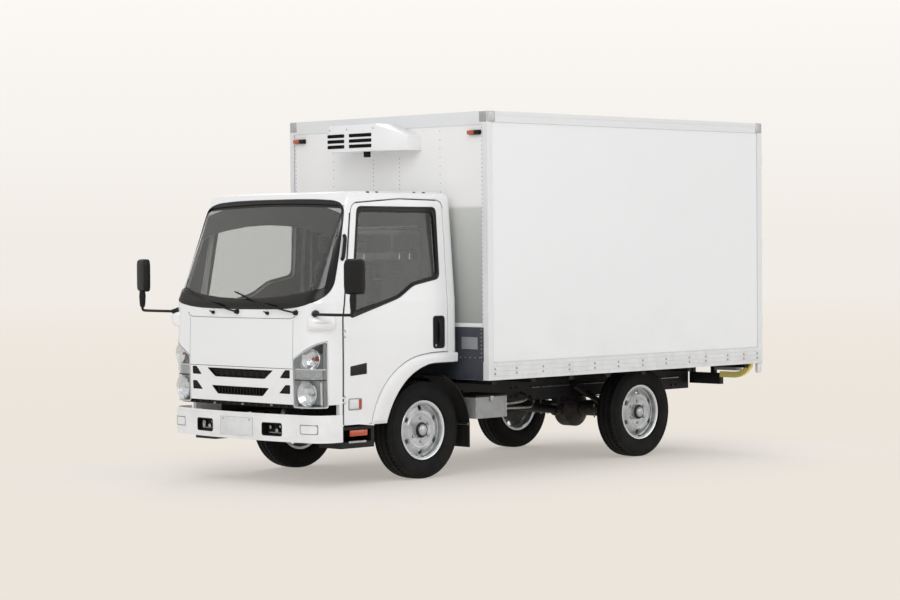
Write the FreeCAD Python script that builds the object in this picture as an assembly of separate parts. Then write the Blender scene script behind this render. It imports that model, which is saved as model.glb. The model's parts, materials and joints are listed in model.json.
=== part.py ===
import FreeCAD, Part
import math
import os

# Light cab-over truck with an insulated box and a front wall cooling unit.
# Lengths are millimetres. X points to the truck's left, Y to its rear, Z up.
# Every piece is modelled with Y = 0 at the front axle and Z = 0 on the ground,
# and is moved by front_axle_y when it is written, to the middle of the length.

# Chassis
wheelbase = 2490.0
track = 1392.0
front_overhang = 1178.0
rail_height = 140.0
rail_width = 60.0
rail_wall = 6.0
rail_bottom = 500.0
rail_spread = 750.0
rail_front = 1010.0
axle_tube_radius = 55.0
kingpin_inset = 96.0
kingpin_radius = 14.0
spindle_radius = 22.0
steering_arm = 150.0

# Wheels
tyre_diameter = 738.0
tyre_width = 195.0
bead_radius = 206.0
flange_radius = 220.0
rim_width = 150.0
rim_wall = 5.0
hub_radius = 60.0
hand_hole_count = 6
hand_hole_pitch_radius = 168.0

# Box
box_width = 2250.0
box_length = 3320.0
box_height = 2028.0
box_bottom = 736.0
box_gap = 352.0
box_wall = 60.0
sill_height = 138.0
top_rail_height = 80.0
rail_proud = 6.0
post_width = 60.0
floor_thickness = 70.0
door_hardware_depth = 38.0

# Cab
cab_width = 1695.0
cab_nose = 1140.0
cab_rear = 303.0
cab_wall = 35.0
cab_bottom = 610.0
cab_belt = 1345.0
cab_roof_edge = 2115.0
cab_top = 2160.0
cab_roof_width = 1580.0
cab_corner = 160.0
floor_bottom = 690.0
floor_slab = 40.0
platform_bottom = 905.0
door_front = 858.0
door_rear = 191.0
door_bottom = 457.0
door_gap = 7.0
tilt_pivot_ahead = 980.0
tilt_pivot_height = 660.0
tilt_pin_radius = 15.0
glass_thickness = 6.0

# Tow plate bolt holes on the rear cross member
tow_hole_radius = 8.5
tow_hole_spread = 200.0
tow_hole_rise = 80.0

# Running clearances
pin_clearance = 0.05
seat_gap = 0.3

# Worked out from the values above
tyre_radius = tyre_diameter / 2
axle_height = tyre_radius
wheel_x = track / 2
kingpin_x = wheel_x - kingpin_inset
rail_x = rail_spread / 2
rail_top = rail_bottom + rail_height
box_front = box_gap
box_rear = box_gap + box_length
box_top = box_bottom + box_height
overall_length = front_overhang + box_rear + door_hardware_depth
front_axle_y = front_overhang - overall_length / 2
cab_half = cab_width / 2
box_half = box_width / 2

V = FreeCAD.Vector
X_AXIS = V(1, 0, 0)
Z_AXIS = V(0, 0, 1)


def block(x0, x1, y0, y1, z0, z1):
    """Box between two corners."""
    return Part.makeBox(x1 - x0, y1 - y0, z1 - z0, V(x0, y0, z0))


def rod(start, end, radius):
    """Cylinder from one point to another."""
    start, end = V(*start), V(*end)
    return Part.makeCylinder(radius, (end - start).Length, start, end - start)


def side_prism(points, x0, x1):
    """Outline in Y and Z, extruded along X."""
    wire = Part.makePolygon([V(x0, y, z) for y, z in points + points[:1]])
    return Part.Face(wire).extrude(V(x1 - x0, 0, 0))


def front_prism(points, y0, y1):
    """Outline in X and Z, extruded along Y."""
    wire = Part.makePolygon([V(x, y0, z) for x, z in points + points[:1]])
    return Part.Face(wire).extrude(V(0, y1 - y0, 0))


def plan_prism(points, z0, z1):
    """Outline in X and Y, extruded along Z."""
    wire = Part.makePolygon([V(x, y, z0) for x, y in points + points[:1]])
    return Part.Face(wire).extrude(V(0, 0, z1 - z0))


def line(a, b):
    return Part.LineSegment(V(*a), V(*b)).toShape()


def arc(a, b, c):
    return Part.Arc(V(*a), V(*b), V(*c)).toShape()


def join(shapes):
    """One shape of pieces that touch or overlap."""
    first, rest = shapes[0], list(shapes[1:])
    return first.multiFuse(rest).removeSplitter() if rest else first


def weld(shapes):
    """One shape of pieces on curved walls, with their seams kept."""
    return shapes[0].multiFuse(list(shapes[1:]))


def apart(shapes):
    """Several solids in one node."""
    return Part.makeCompound(list(shapes))


def mirrored(shape):
    """Copy for the other side of the truck."""
    return shape.mirror(V(0, 0, 0), X_AXIS)


def pair(shape):
    """A piece and its mirror image as separate solids."""
    return apart([shape, mirrored(shape)])


def revolve_about_x(points, centre_y=0.0, centre_z=0.0):
    """Turn an outline of (x, radius) points about a line along X."""
    wire = Part.makePolygon([V(x, centre_y, centre_z + r) for x, r in points + points[:1]])
    return Part.Face(wire).revolve(V(0, centre_y, centre_z), X_AXIS, 360)


# Cab surface

def plan_wire(z, half, nose, rear, corner, sagitta, inset):
    """Cab outline at one height: bowed nose, round front corners, tight rear corners."""
    half, nose, rear = half - inset, nose + inset, rear - inset
    corner = max(corner - inset, 5.0)
    back = max(50.0 - inset, 8.0)
    turn = 1 - math.sqrt(0.5)
    bow = nose + sagitta
    edges = [
        line((-half + back, rear, z), (half - back, rear, z)),
        arc((half - back, rear, z), (half - back * turn, rear - back * turn, z), (half, rear - back, z)),
        line((half, rear - back, z), (half, bow + corner, z)),
        arc((half, bow + corner, z), (half - corner * turn, bow + corner * turn, z),
            (half - corner, bow, z)),
        arc((half - corner, bow, z), (0, nose, z), (corner - half, bow, z)),
        arc((corner - half, bow, z), (corner * turn - half, bow + corner * turn, z),
            (-half, bow + corner, z)),
        line((-half, bow + corner, z), (-half, rear - back, z)),
        arc((-half, rear - back, z), (back * turn - half, rear - back * turn, z), (back - half, rear, z)),
    ]
    return Part.Wire(edges)


roof_half = cab_roof_width / 2
roof_nose = -772.0

# height, half width, nose, rear, corner radius, bow
cab_sections = [
    (door_bottom - 7, cab_half - 6, -cab_nose + 8, cab_rear, cab_corner, 12),
    (900.0, cab_half, -cab_nose - 2, cab_rear, cab_corner, 12),
    (1240.0, cab_half, -cab_nose + 6, cab_rear, cab_corner, 14),
    (cab_belt, cab_half - 1, -cab_nose + 10, cab_rear, cab_corner - 10, 14),
    (cab_roof_edge, roof_half, roof_nose, cab_rear - 6, 25.0, 12),
    (cab_roof_edge + 30, roof_half - 18, roof_nose + 30, cab_rear - 20, 45.0, 12),
    (cab_top, roof_half - 75, roof_nose + 110, cab_rear - 80, 70.0, 10),
]


def cab_volume(inset, low=None, high=None):
    """The cab's outside, or a surface inside it by inset, between two heights."""
    wires = [plan_wire(z, half, nose, rear, corner, bow, inset)
             for z, half, nose, rear, corner, bow in cab_sections]
    solid = Part.makeLoft(wires, True, True)
    if low is None and high is None:
        return solid
    low = door_bottom - 7 if low is None else low
    high = cab_top if high is None else high
    return solid.common(block(-1200, 1200, -1500, 800, low, high))


# Outlines on the cab's side, as (y, z)
arch_front_y, arch_front_z = -435.0, 450.0
arch_top_z = 875.0
flare_front_y = -581.0
flare_foot_z = 467.0
flare_top_z = 950.0


def side_face(edges):
    return Part.Face(Part.Wire(edges))


def arch_cut():
    """Wheel opening in the cab's side, through the full width."""
    x = -1200.0
    edges = [
        line((x, 500, 200), (x, arch_front_y, 200)),
        line((x, arch_front_y, 200), (x, arch_front_y, arch_front_z)),
        arc((x, arch_front_y, arch_front_z), (x, -290, 705), (x, -50, arch_top_z - 8)),
        arc((x, -50, arch_top_z - 8), (x, 0, arch_top_z - 1), (x, 60, arch_top_z)),
        line((x, 60, arch_top_z), (x, 500, arch_top_z)),
        line((x, 500, arch_top_z), (x, 500, 200)),
    ]
    return side_face(edges).extrude(V(2400, 0, 0))


def flare_edges(x, offset):
    """Upper edge of the wheel arch flare, from its front foot to the cab's rear."""
    foot_y = flare_front_y - offset
    top = flare_top_z + offset
    return [
        arc((x, foot_y, flare_foot_z), (x, -400 - offset * 0.7, 785 + offset * 0.7), (x, -60, top - 12)),
        arc((x, -60, top - 12), (x, 20, top - 3), (x, 110, top)),
    ]


def door_outline(x, grow):
    """Door in the cab's side: grow is positive for the hole it sits in."""
    front = -door_front - grow
    rear = door_rear + grow
    low = door_bottom - 3 * grow
    top_front = (x, -680.0 - grow, 2070.0 + grow)
    top_mid = (x, -250.0, 2100.0 + grow)
    top_rear = (x, 130.0, 2092.0 + grow)
    belt = (x, front, 1236.0)
    corner = (x, rear, 2040.0)
    over = flare_edges(x, door_gap + 1 - grow)
    start = over[0].Vertexes[0].Point
    end = over[1].Vertexes[1].Point
    return [
        line((x, front, low), belt),
        line(belt, (x, -738.0 - grow, 2000.0)),
        arc((x, -738.0 - grow, 2000.0), (x, -722.0 - grow * 0.7, 2048.0 + grow * 0.7), top_front),
        line(top_front, top_mid),
        line(top_mid, top_rear),
        arc(top_rear, (x, 174.0 + grow * 0.7, 2078.0 + grow * 0.7), corner),
        line(corner, (x, rear, end.z)),
        line((x, rear, end.z), end),
        over[1],
        over[0],
        line(start, (x, start.y, low)),
        line((x, start.y, low), (x, front, low)),
    ]


def door_prism(grow):
    wire = Part.Wire(door_outline(500.0, grow))
    return Part.Face(wire).extrude(V(700, 0, 0))


window_points = [(-782.0, 1262.0), (-430.0, 1345.0), (-300.0, 1380.0), (-150.0, 1470.0), (103.0, 1518.0),
                 (96.0, 2015.0), (-668.0, 2022.0)]


def shrunk(face, gap):
    """Flat face made smaller by gap along its whole edge."""
    return face.makeOffset2D(-gap, 2) if gap else face


def outline_face(points):
    """Flat face through corner points."""
    return Part.Face(Part.makePolygon([V(*p) for p in points + points[:1]]))


def window_prism(gap=0.0):
    """Space of the door's window, or of its glass with a gap all round."""
    face = outline_face([(500.0, y, z) for y, z in window_points])
    return shrunk(face, gap).extrude(V(700, 0, 0))


def windscreen_space(gap=0.0):
    """Space of the windscreen: its upper and lower edges from the front, its sides on a sloping plane."""
    y, low, high, half = -1400.0, 1348.0, 2080.0, 900.0
    edges = [
        arc((-half, y, low + 100), (0, y, low), (half, y, low + 100)),
        line((half, y, low + 100), (half, y, high - 34)),
        arc((half, y, high - 34), (0, y, high), (-half, y, high - 34)),
        line((-half, y, high - 34), (-half, y, low + 100)),
    ]
    front = shrunk(Part.Face(Part.Wire(edges)), gap).extrude(V(0, 900, 0))
    ahead = outline_face([(-half, -1400, 1200), (-half, -1078, 1200), (-half, -760, 2110),
                          (-half, -1400, 2110)])
    return front.common(shrunk(ahead, gap).extrude(V(2 * half, 0, 0)))


panel_half = 590.0


def lamp_prism(grow=0.0):
    return front_prism([(panel_half - grow, cab_bottom - 40), (panel_half - grow, 940.0 + grow),
                        (800.0, 1058.0 + grow), (860.0, 1082.0 + grow), (860.0, cab_bottom - 40)], -1400,
                        -1010)


def cab_lower_trim():
    """What lies under the cab's lower edge in front of the wheel."""
    return block(-1200, 1200, -1400, -905, 0, cab_bottom)


def cab_walls():
    """Outer walls and roof of the cab, with the wheel arches cut."""
    outer = cab_volume(0).cut(cab_lower_trim())
    return outer.cut(cab_volume(cab_wall, high=cab_top - cab_wall)).cut(arch_cut())


def cab_floors():
    """Footwell, the bulkhead behind it and the seat platform over the wheels."""
    edge = cab_half - cab_wall + 4
    nose = cab_nose - cab_wall - 20
    footwell = plan_prism([(-edge, -470), (-edge, -960), (-edge + 116, -nose), (edge - 116, -nose),
                           (edge, -960),
                           (edge, -470)], floor_bottom, floor_bottom + floor_slab)
    bulkhead = block(-edge, edge, -515, -470, floor_bottom, platform_bottom + 45)
    platform = block(-edge, edge, -515, cab_rear - cab_wall + 4, platform_bottom, platform_bottom + 45)
    floors = join([footwell, bulkhead, platform])
    beside_door = door_prism(door_gap).common(block(cab_half - cab_wall - door_gap, cab_half, -1200, 600,
                                                    0, 3000))
    return floors.cut(beside_door).cut(mirrored(beside_door))


def hinge_heights():
    return (640.0, 1120.0)


hinge_x = cab_half - 2.5
hinge_y = -door_front + 2.0
hinge_barrel = 5.5
hinge_pin = 3.0


tilt_arm_x = (270.0, 295.0)


def cab_shell():
    walls = cab_walls()
    hole, lamp = door_prism(door_gap), lamp_prism()
    for space in (windscreen_space(), front_lid_prism(), hole, mirrored(hole), lamp, mirrored(lamp),
                  rear_window_space()):
        walls = walls.cut(space)
    extras = [cab_floors()]
    inner, outer = tilt_arm_x
    arm = join([block(inner, outer, -tilt_pivot_ahead - 30, -tilt_pivot_ahead + 30, tilt_pivot_height,
                      floor_bottom + 5),
                rod((inner, -tilt_pivot_ahead, tilt_pivot_height),
                    (outer, -tilt_pivot_ahead, tilt_pivot_height), 34)])
    arm = arm.cut(rod((inner - 10, -tilt_pivot_ahead, tilt_pivot_height),
                      (outer + 10, -tilt_pivot_ahead, tilt_pivot_height), tilt_pin_radius + pin_clearance))
    extras += [arm, mirrored(arm)]
    for height in hinge_heights():
        for offset in (-22.0, 12.0):
            ear = plan_prism([(hinge_x - 30, -door_front - door_gap - 12),
                              (hinge_x + 3, -door_front - door_gap - 12),
                              (hinge_x + 3, hinge_y), (hinge_x - 8, hinge_y)], height + offset,
                             height + offset + 10)
            ear = join([ear, rod((hinge_x, hinge_y, height + offset),
                                 (hinge_x, hinge_y, height + offset + 10),
                                 hinge_barrel)])
            extras.append(ear)
            extras.append(mirrored(ear))
        pin = rod((hinge_x, hinge_y, height - 22), (hinge_x, hinge_y, height + 22), hinge_pin)
        extras.append(pin)
        extras.append(mirrored(pin))
    return weld([walls] + extras)


def front_lid_prism():
    return block(-panel_half, panel_half, -1400, -1060, cab_bottom - 5, 1296)


def rear_window_space(gap=0.0):
    face = outline_face([(-480.0, 200.0, 1500.0), (480.0, 200.0, 1500.0), (480.0, 200.0, 1900.0),
                         (-480.0, 200.0, 1900.0)])
    return shrunk(face, gap).extrude(V(0, 300, 0))


def front_panel():
    lid = cab_walls().common(front_lid_prism())
    openings = []
    for half_top, half_low, top, low in ((372, 284, 851, 792), (322, 257, 719, 664)):
        openings.append(front_prism([(-half_top, top), (half_top, top), (half_low, low), (-half_low, low)],
                                    -1400, -1000))
    for top, low in ((857, 802), (751, 700)):
        openings.append(pair(front_prism([(558, top), (512, top), (458, low), (556, low)], -1400, -1000)))
    return lid.cut(apart(openings))


def glass_skin():
    return cab_volume(8).cut(cab_volume(8 + glass_thickness))


def cab_glass():
    screen = glass_skin().common(windscreen_space(seat_gap))
    rear = glass_skin().common(rear_window_space(seat_gap))
    return apart(screen.Solids + rear.Solids)


def door():
    """Left door with its frame, without the glass."""
    shell = cab_volume(0).cut(cab_volume(cab_wall))
    leaf = shell.common(door_prism(0.0))
    leaf = leaf.cut(window_prism())
    for height in hinge_heights():
        pocket = block(hinge_x - 60, hinge_x + 60, -door_front - 5, hinge_y + 14, height - 28, height + 28)
        leaf = leaf.cut(pocket)
        plate = block(hinge_x - 5, hinge_x + 1, hinge_y, hinge_y + 20, height - 11, height + 11)
        knuckle = rod((hinge_x, hinge_y, height - 11), (hinge_x, hinge_y, height + 11), hinge_barrel)
        bore = rod((hinge_x, hinge_y, height - 30), (hinge_x, hinge_y, height + 30),
                   hinge_pin + pin_clearance)
        leaf = weld([leaf, join([plate, knuckle]).cut(bore)])
    return leaf


def door_glass():
    return glass_skin().common(window_prism(seat_gap))


def cab_lamps():
    lens = cab_volume(2).cut(cab_volume(cab_wall - 3)).common(lamp_prism(-seat_gap))
    return pair(lens.cut(cab_lower_trim()))


def dashboard():
    top = side_prism([(-1075, 1290), (-1060, 1000), (-960, 960), (-800, 1000), (-760, 1130), (-860, 1250)],
                     -780, 780)
    top = top.common(cab_volume(cab_wall))
    column = rod((column_x, -930, 960), (column_x, *column_top), 28)
    return join([top, column])


column_x = 380.0
column_top = (-660.0, 1190.0)


def steering_wheel():
    base, tip = V(column_x, -930, 960), V(column_x, column_top[0], column_top[1])
    axis = tip - base
    axis.normalize()
    centre = tip + axis * 45
    ring = Part.makeTorus(205, 15, centre, axis)
    hub = Part.makeCylinder(45, 40, tip + axis * seat_gap, axis)
    spokes = []
    for turn in (0, 120, 240):
        spoke = block(-12, 12, 30, 205, -8, 8)
        spoke.rotate(V(0, 0, 0), Z_AXIS, turn)
        spokes.append(spoke)
    cross = join(spokes)
    tilt = math.degrees(math.atan2(-axis.y, axis.z))
    cross.rotate(V(0, 0, 0), X_AXIS, tilt)
    cross.translate(centre - axis * 10)
    return join([ring, hub, cross])


def seats():
    """Driver's seat and a double passenger seat: cushions, backrests and headrests."""
    places = []
    for low, high in ((170, 620), (-620, 40)):
        base = block(low, high, -420, 90, platform_bottom + 45 + seat_gap, 1120)
        base = base.makeFillet(35, [edge for edge in base.Edges if edge.BoundBox.ZMin > 1110])
        back = side_prism([(60, 1100), (170, 1100), (230, 1640), (190, 1665), (140, 1660), (112, 1630)],
                          low, high)
        back = back.cut(base)
        places += [base, back]
        count = 1 if high - low < 500 else 2
        for index in range(count):
            middle = low + (high - low) * (index + 0.5) / count
            pad = block(middle - 120, middle + 120, 140, 225, 1690, 1850)
            stalks = [rod((middle + out, 185, 1640), (middle + out, 185, 1700), 7) for out in (-55, 55)]
            places.append(join([pad.makeFillet(25, pad.Edges), *stalks]).cut(back))
    return apart(places)


def wipers():
    """Two arms on pivots below the windscreen, with a blade along the outer half of each."""
    arms = []
    pivot_z, tip_z = cab_belt - 60, cab_belt + 80
    for pivot_x, tip_x in ((-22.0, -661.0), (627.0, -55.0)):
        boss = rod((pivot_x, -cab_nose + 50, pivot_z), (pivot_x, -cab_nose - 12, pivot_z), 18)
        arm = rod((pivot_x, -cab_nose - 6, pivot_z), (tip_x, -cab_nose + 32, tip_z), 7)
        arms.append(join([boss, arm]).cut(cab_volume(-seat_gap)))
    return apart(arms)


def mirrors():
    """Housing, stem and arm on each side of the nose."""
    arm_z = cab_belt - 77
    front = -cab_nose + 20
    head = block(cab_half + 285, cab_half + 450, front, front + 57, arm_z + 139, arm_z + 406)
    head = head.makeFillet(14, head.Edges)
    stem_x = cab_half + 367
    stem = rod((stem_x, front + 15, arm_z), (stem_x, front + 15, arm_z + 152), 11)
    arm = rod((cab_half - 35, front + 8, arm_z), (stem_x + 11, front + 15, arm_z), 11)
    foot = rod((cab_half - 77, front + 70, arm_z), (cab_half - 32, front - 4, arm_z), 26)
    return pair(join([head, stem, arm, foot]).cut(cab_volume(-seat_gap)))


# Doors of the box

box_door_gap = 6.0
rear_hinge_heights = (1080.0, 1750.0, 2450.0)
rear_hinge_x = box_half - 20.0
rear_hinge_y = box_rear + 16.0
opening_half = box_half - post_width
opening_low = box_bottom + sill_height
opening_high = box_top - 110.0


def cargo_door():
    """Left leaf of the rear doors with hinge straps and lock rod."""
    leaf = block(3, opening_half - box_door_gap, box_rear - box_wall, box_rear, opening_low + box_door_gap,
                 opening_high - box_door_gap)
    parts = [leaf]
    for height in rear_hinge_heights:
        strap = block(opening_half - 160, rear_hinge_x, box_rear, box_rear + 8, height - 22, height + 22)
        web = block(rear_hinge_x - 10, rear_hinge_x, box_rear + 4, rear_hinge_y, height - 22, height + 22)
        barrel = rod((rear_hinge_x, rear_hinge_y, height - 22), (rear_hinge_x, rear_hinge_y, height + 22),
                     12)
        bore = rod((rear_hinge_x, rear_hinge_y, height - 40), (rear_hinge_x, rear_hinge_y, height + 40),
                   6 + pin_clearance)
        strap = strap.cut(block(opening_half - box_door_gap, rear_hinge_x + 20, box_rear - 5, box_rear + 1,
                                height - 30, height + 30))
        parts.append(join([strap, web, barrel]).cut(bore))
    bar = rod((140, box_rear + 24, opening_low + 20), (140, box_rear + 24, opening_high - 20), 11)
    parts.append(bar)
    for height in (opening_low + 60, 1300.0, 1900.0, opening_high - 60):
        parts.append(block(115, 165, box_rear, box_rear + door_hardware_depth, height - 20, height + 20))
    parts.append(block(135, 330, box_rear + 14, box_rear + 34, 1180, 1210))
    return join(parts)


def box_frame():
    """Sills, posts, top rails and the rear portal of the box."""
    parts = []
    for side in (1, -1):
        def put(x0, x1, y0, y1, z0, z1, side=side):
            low, high = sorted((side * x0, side * x1))
            parts.append(block(low, high, y0, y1, z0, z1))
        put(box_half - 30, box_half, box_front, box_rear, box_bottom, box_bottom + sill_height)
        put(box_half - 40, box_half, box_front, box_rear, box_top - top_rail_height, box_top)
        put(box_half - 50, box_half, box_front, box_front + 50, box_bottom, box_top)
        put(box_half - post_width, box_half, box_rear - box_wall, box_rear, box_bottom, box_top)
    parts.append(block(-box_half, box_half, box_front, box_front + 30, box_bottom,
                       box_bottom + sill_height))
    parts.append(block(-box_half, box_half, box_front, box_front + 40, box_top - 100, box_top))
    parts.append(block(-box_half, box_half, box_rear - box_wall, box_rear, box_bottom, opening_low))
    parts.append(block(-box_half, box_half, box_rear - box_wall, box_rear, opening_high, box_top))
    for side in (1, -1):
        for height in rear_hinge_heights:
            for low in (height - 36, height + 24):
                ear = block(rear_hinge_x - 10, rear_hinge_x + 12, box_rear - 2, rear_hinge_y, low, low + 12)
                ear = join([ear, rod((rear_hinge_x, rear_hinge_y, low),
                                     (rear_hinge_x, rear_hinge_y, low + 12), 12)])
                parts.append(ear if side == 1 else mirrored(ear))
            pin = rod((rear_hinge_x, rear_hinge_y, height - 36),
                      (rear_hinge_x, rear_hinge_y, height + 36), 6)
            parts.append(pin if side == 1 else mirrored(pin))
    return join(parts)


def box_panels():
    """Floor, side walls, front wall and roof inside the box frame."""
    skin = box_half - rail_proud
    frame = box_frame()
    top = box_top - rail_proud
    inside, low = skin - box_wall, opening_low - floor_thickness
    floor = block(-inside, inside, box_front + rail_proud + box_wall, box_rear - box_wall, low, opening_low)
    side = block(inside, skin, box_front + rail_proud, box_rear - box_wall, low, top - box_wall)
    front = block(-inside, inside, box_front + rail_proud, box_front + rail_proud + box_wall, low,
                  top - box_wall)
    roof = block(-skin, skin, box_front + rail_proud, box_rear - box_wall, top - box_wall, top)
    return {
        "box_floor": floor,
        "box_side_walls": apart(side.cut(frame).Solids + mirrored(side).cut(frame).Solids),
        "box_front_wall": front.cut(frame),
        "box_roof": roof.cut(frame),
    }


def refrigeration_unit():
    """Condenser housing on the front wall above the cab: louvred face, with its left end sloping back."""
    back = box_front + rail_proud
    base, top = 2490.0, 2700.0
    face, left, right = back - 270, 410.0, -390.0
    body = plan_prism([(right, back), (right, face + 30), (right + 30, face), (140, face),
                       (left - 20, back - 150),
                       (left, back - 120), (left, back)], base, top)
    fall = front_prism([(140, top), (left, top - 95), (left + 50, top - 95), (left + 50, top + 50),
                        (140, top + 50)],
                       face - 50, back + 50)
    slope = side_prism([(face - 10, top - 60), (face + 40, top), (face - 10, top)], right - 50, left + 50)
    slots = [block(low, high, face - 5, face + 12, z - 9, z + 9)
             for low, high in ((-368, -181), (-118, 130)) for z in (2531, 2573, 2615)]
    outlet = rod((20, face + 60, base - 45), (20, face + 60, base), 28)
    body = body.cut(fall).cut(slope).cut(apart(slots))
    behind_rail = block(right - 50, left + 50, box_front, back + 10, box_top - 100, box_top)
    return join([body, outlet]).cut(behind_rail)


def evaporator():
    """Evaporator housing under the box roof, behind the front wall."""
    face = box_front + rail_proud + box_wall
    under = box_top - rail_proud - box_wall
    return side_prism([(face, under), (face, under - 200), (face + 80, under - 230),
                       (face + 520, under - 120),
                       (face + 560, under)], -480, 480)


def box_lamps():
    """Front markers and rear lamps."""
    y = box_front + rail_proud
    front = []
    for side in (1, -1):
        low, high = sorted((side * 935, side * 1060))
        front.append(block(low, high, y - 38, y, 2590, 2622))
    rear = []
    for side in (1, -1):
        low, high = sorted((side * 680, side * 920))
        rear.append(block(low, high, box_rear - 100, box_rear - 10, 668, box_bottom))
    return apart(front + rear)


def rear_bumper():
    """Underrun bar in two halves beside the tow plate, with ends curving up to the sill."""
    low, high = 545.0, 640.0
    front, back = box_rear - 75, box_rear - 25
    half = block(rail_x + 10, 720, front, back, low, high)
    arms = [block(x, x + 40, front, back - 10, high, box_bottom) for x in (rail_x + 10, 620.0)]
    end = front_prism([(720, 606), (890, 606), (955, 620), (1010, 652), (1048, 695), (1062, box_bottom),
                       (1002, box_bottom), (992, 708), (965, 680), (925, 662), (880, 655), (720, 655)],
                      front, back - 15)
    return pair(join([half, end] + arms))


# Chassis pieces

def channel(side):
    """Side rail, open to the inside."""
    outer = block(rail_x - rail_width, rail_x, -rail_front, box_rear - 80, rail_bottom, rail_top)
    inner = block(rail_x - rail_width - 1, rail_x - rail_wall, -rail_front - 1, box_rear - 79,
                  rail_bottom + rail_wall, rail_top - rail_wall)
    shape = outer.cut(inner)
    return shape if side == 1 else mirrored(shape)


def ladder_frame():
    """Rails, cross tubes, tow plate, box bearers and the ears of the tilt pins, bolted to each other."""
    parts = [channel(1), channel(-1)]
    inside = rail_x - rail_wall
    for y in (-760.0, 1400.0, 2000.0, 2900.0, box_rear - 160.0):
        tube = block(-inside, inside, y - 30, y + 30, rail_bottom + 45, rail_top - 25)
        core = block(-inside - 1, inside + 1, y - 25, y + 25, rail_bottom + 50, rail_top - 30)
        parts.append(tube.cut(core))
    tow_plate = block(-inside, inside, box_rear - 90, box_rear - 80, rail_bottom + rail_wall,
                      rail_top - rail_wall)
    for x in (-tow_hole_spread / 2, tow_hole_spread / 2):
        for z in (rail_bottom + 30, rail_bottom + 30 + tow_hole_rise):
            tow_plate = tow_plate.cut(rod((x, box_rear - 100, z), (x, box_rear - 70, z), tow_hole_radius))
    parts.append(tow_plate)
    floor_under = opening_low - floor_thickness
    for side in (1, -1):
        low, high = sorted((side * (rail_x - rail_width), side * rail_x))
        parts.append(block(low, high, box_front + 60, box_rear - 80, rail_top, rail_top + 60))
    first_bearer, wheel_room = box_front + 120, 290.0
    step = (wheelbase - wheel_room - first_bearer) / 4
    bearers = [first_bearer + index * step for index in range(5)] + [wheelbase + wheel_room, box_rear - 140]
    for y in bearers:
        parts.append(block(-box_half + 60, box_half - 60, y - 25, y + 25, rail_top + 60, floor_under))
    inner, outer = tilt_arm_x
    ear = join([block(outer + 5, rail_x - 20, -tilt_pivot_ahead - 20, -tilt_pivot_ahead + 20, rail_top,
                      tilt_pivot_height),
                rod((outer + 5, -tilt_pivot_ahead, tilt_pivot_height),
                    (rail_x - 20, -tilt_pivot_ahead, tilt_pivot_height), 20),
                rod((inner - 8, -tilt_pivot_ahead, tilt_pivot_height),
                    (rail_x - 20, -tilt_pivot_ahead, tilt_pivot_height), tilt_pin_radius)])
    parts += [ear, mirrored(ear)]
    return apart(parts)


def front_axle():
    low_end, high_end = axle_height - 30, axle_height + 30
    knee, bend, flat = kingpin_x - 70, kingpin_x - 140, kingpin_x - 180
    drop = axle_height - 119
    beam = front_prism([(-kingpin_x, high_end), (-kingpin_x, low_end), (-knee, low_end), (-bend, drop + 35),
                        (-flat, drop), (flat, drop), (bend, drop + 35), (knee, low_end),
                        (kingpin_x, low_end),
                        (kingpin_x, high_end), (knee, high_end), (flat, low_end), (-flat, low_end),
                        (-knee, high_end)], -28, 28)
    eyes = [rod((side * kingpin_x, 0, axle_height - 40), (side * kingpin_x, 0, axle_height + 40), 34)
            for side in (1, -1)]
    room = [block(min(side * (kingpin_x + 34), side * (kingpin_x + 90)),
                  max(side * (kingpin_x + 34), side * (kingpin_x + 90)), -60, 60, drop, high_end + 50)
            for side in (1, -1)]
    pins = [rod((side * kingpin_x, 0, axle_height - 78), (side * kingpin_x, 0, axle_height + 78),
                kingpin_radius)
            for side in (1, -1)]
    return join([beam.cut(apart(room))] + eyes + pins)


def knuckle():
    """Left steering knuckle: two ears on the kingpin, backplate, spindle and steering arm."""
    ears = [rod((kingpin_x, 0, axle_height + low), (kingpin_x, 0, axle_height + low + 30), 34)
            for low in (40.3, -70.3)]
    web = block(kingpin_x + 36, kingpin_x + 60, -34, 34, axle_height - 70, axle_height + 70)
    links = [block(kingpin_x, kingpin_x + 60, -34, 34, axle_height + low, axle_height + low + 30)
             for low in (40.3, -70.3)]
    plate = rod((kingpin_x + 52, 0, axle_height), (kingpin_x + 60, 0, axle_height), 150)
    spindle = rod((kingpin_x + 60, 0, axle_height), (wheel_x + 70, 0, axle_height), spindle_radius)
    arm = block(kingpin_x - 15, kingpin_x + 15, 0, steering_arm, axle_height - 70.3, axle_height - 46)
    eye = rod((kingpin_x, steering_arm, axle_height - 70.3), (kingpin_x, steering_arm, axle_height - 46),
              22)
    body = join(ears + [web, plate, spindle, arm, eye] + links)
    bore = rod((kingpin_x, 0, 200), (kingpin_x, 0, 500), kingpin_radius + pin_clearance)
    eye_bore = rod((kingpin_x, steering_arm, 200), (kingpin_x, steering_arm, 400), 8 + pin_clearance)
    return body.cut(bore).cut(eye_bore)


def tie_rod():
    """Track rod between the steering arms, with a pin at each end."""
    z = axle_height - 88
    parts = [rod((-kingpin_x, steering_arm, z), (kingpin_x, steering_arm, z), 13)]
    for side in (1, -1):
        parts.append(rod((side * kingpin_x, steering_arm, z - 15), (side * kingpin_x, steering_arm,
                                                                    axle_height - 70.6), 20))
        parts.append(rod((side * kingpin_x, steering_arm, z), (side * kingpin_x, steering_arm,
                                                               axle_height - 40), 8))
    return join(parts)


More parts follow.
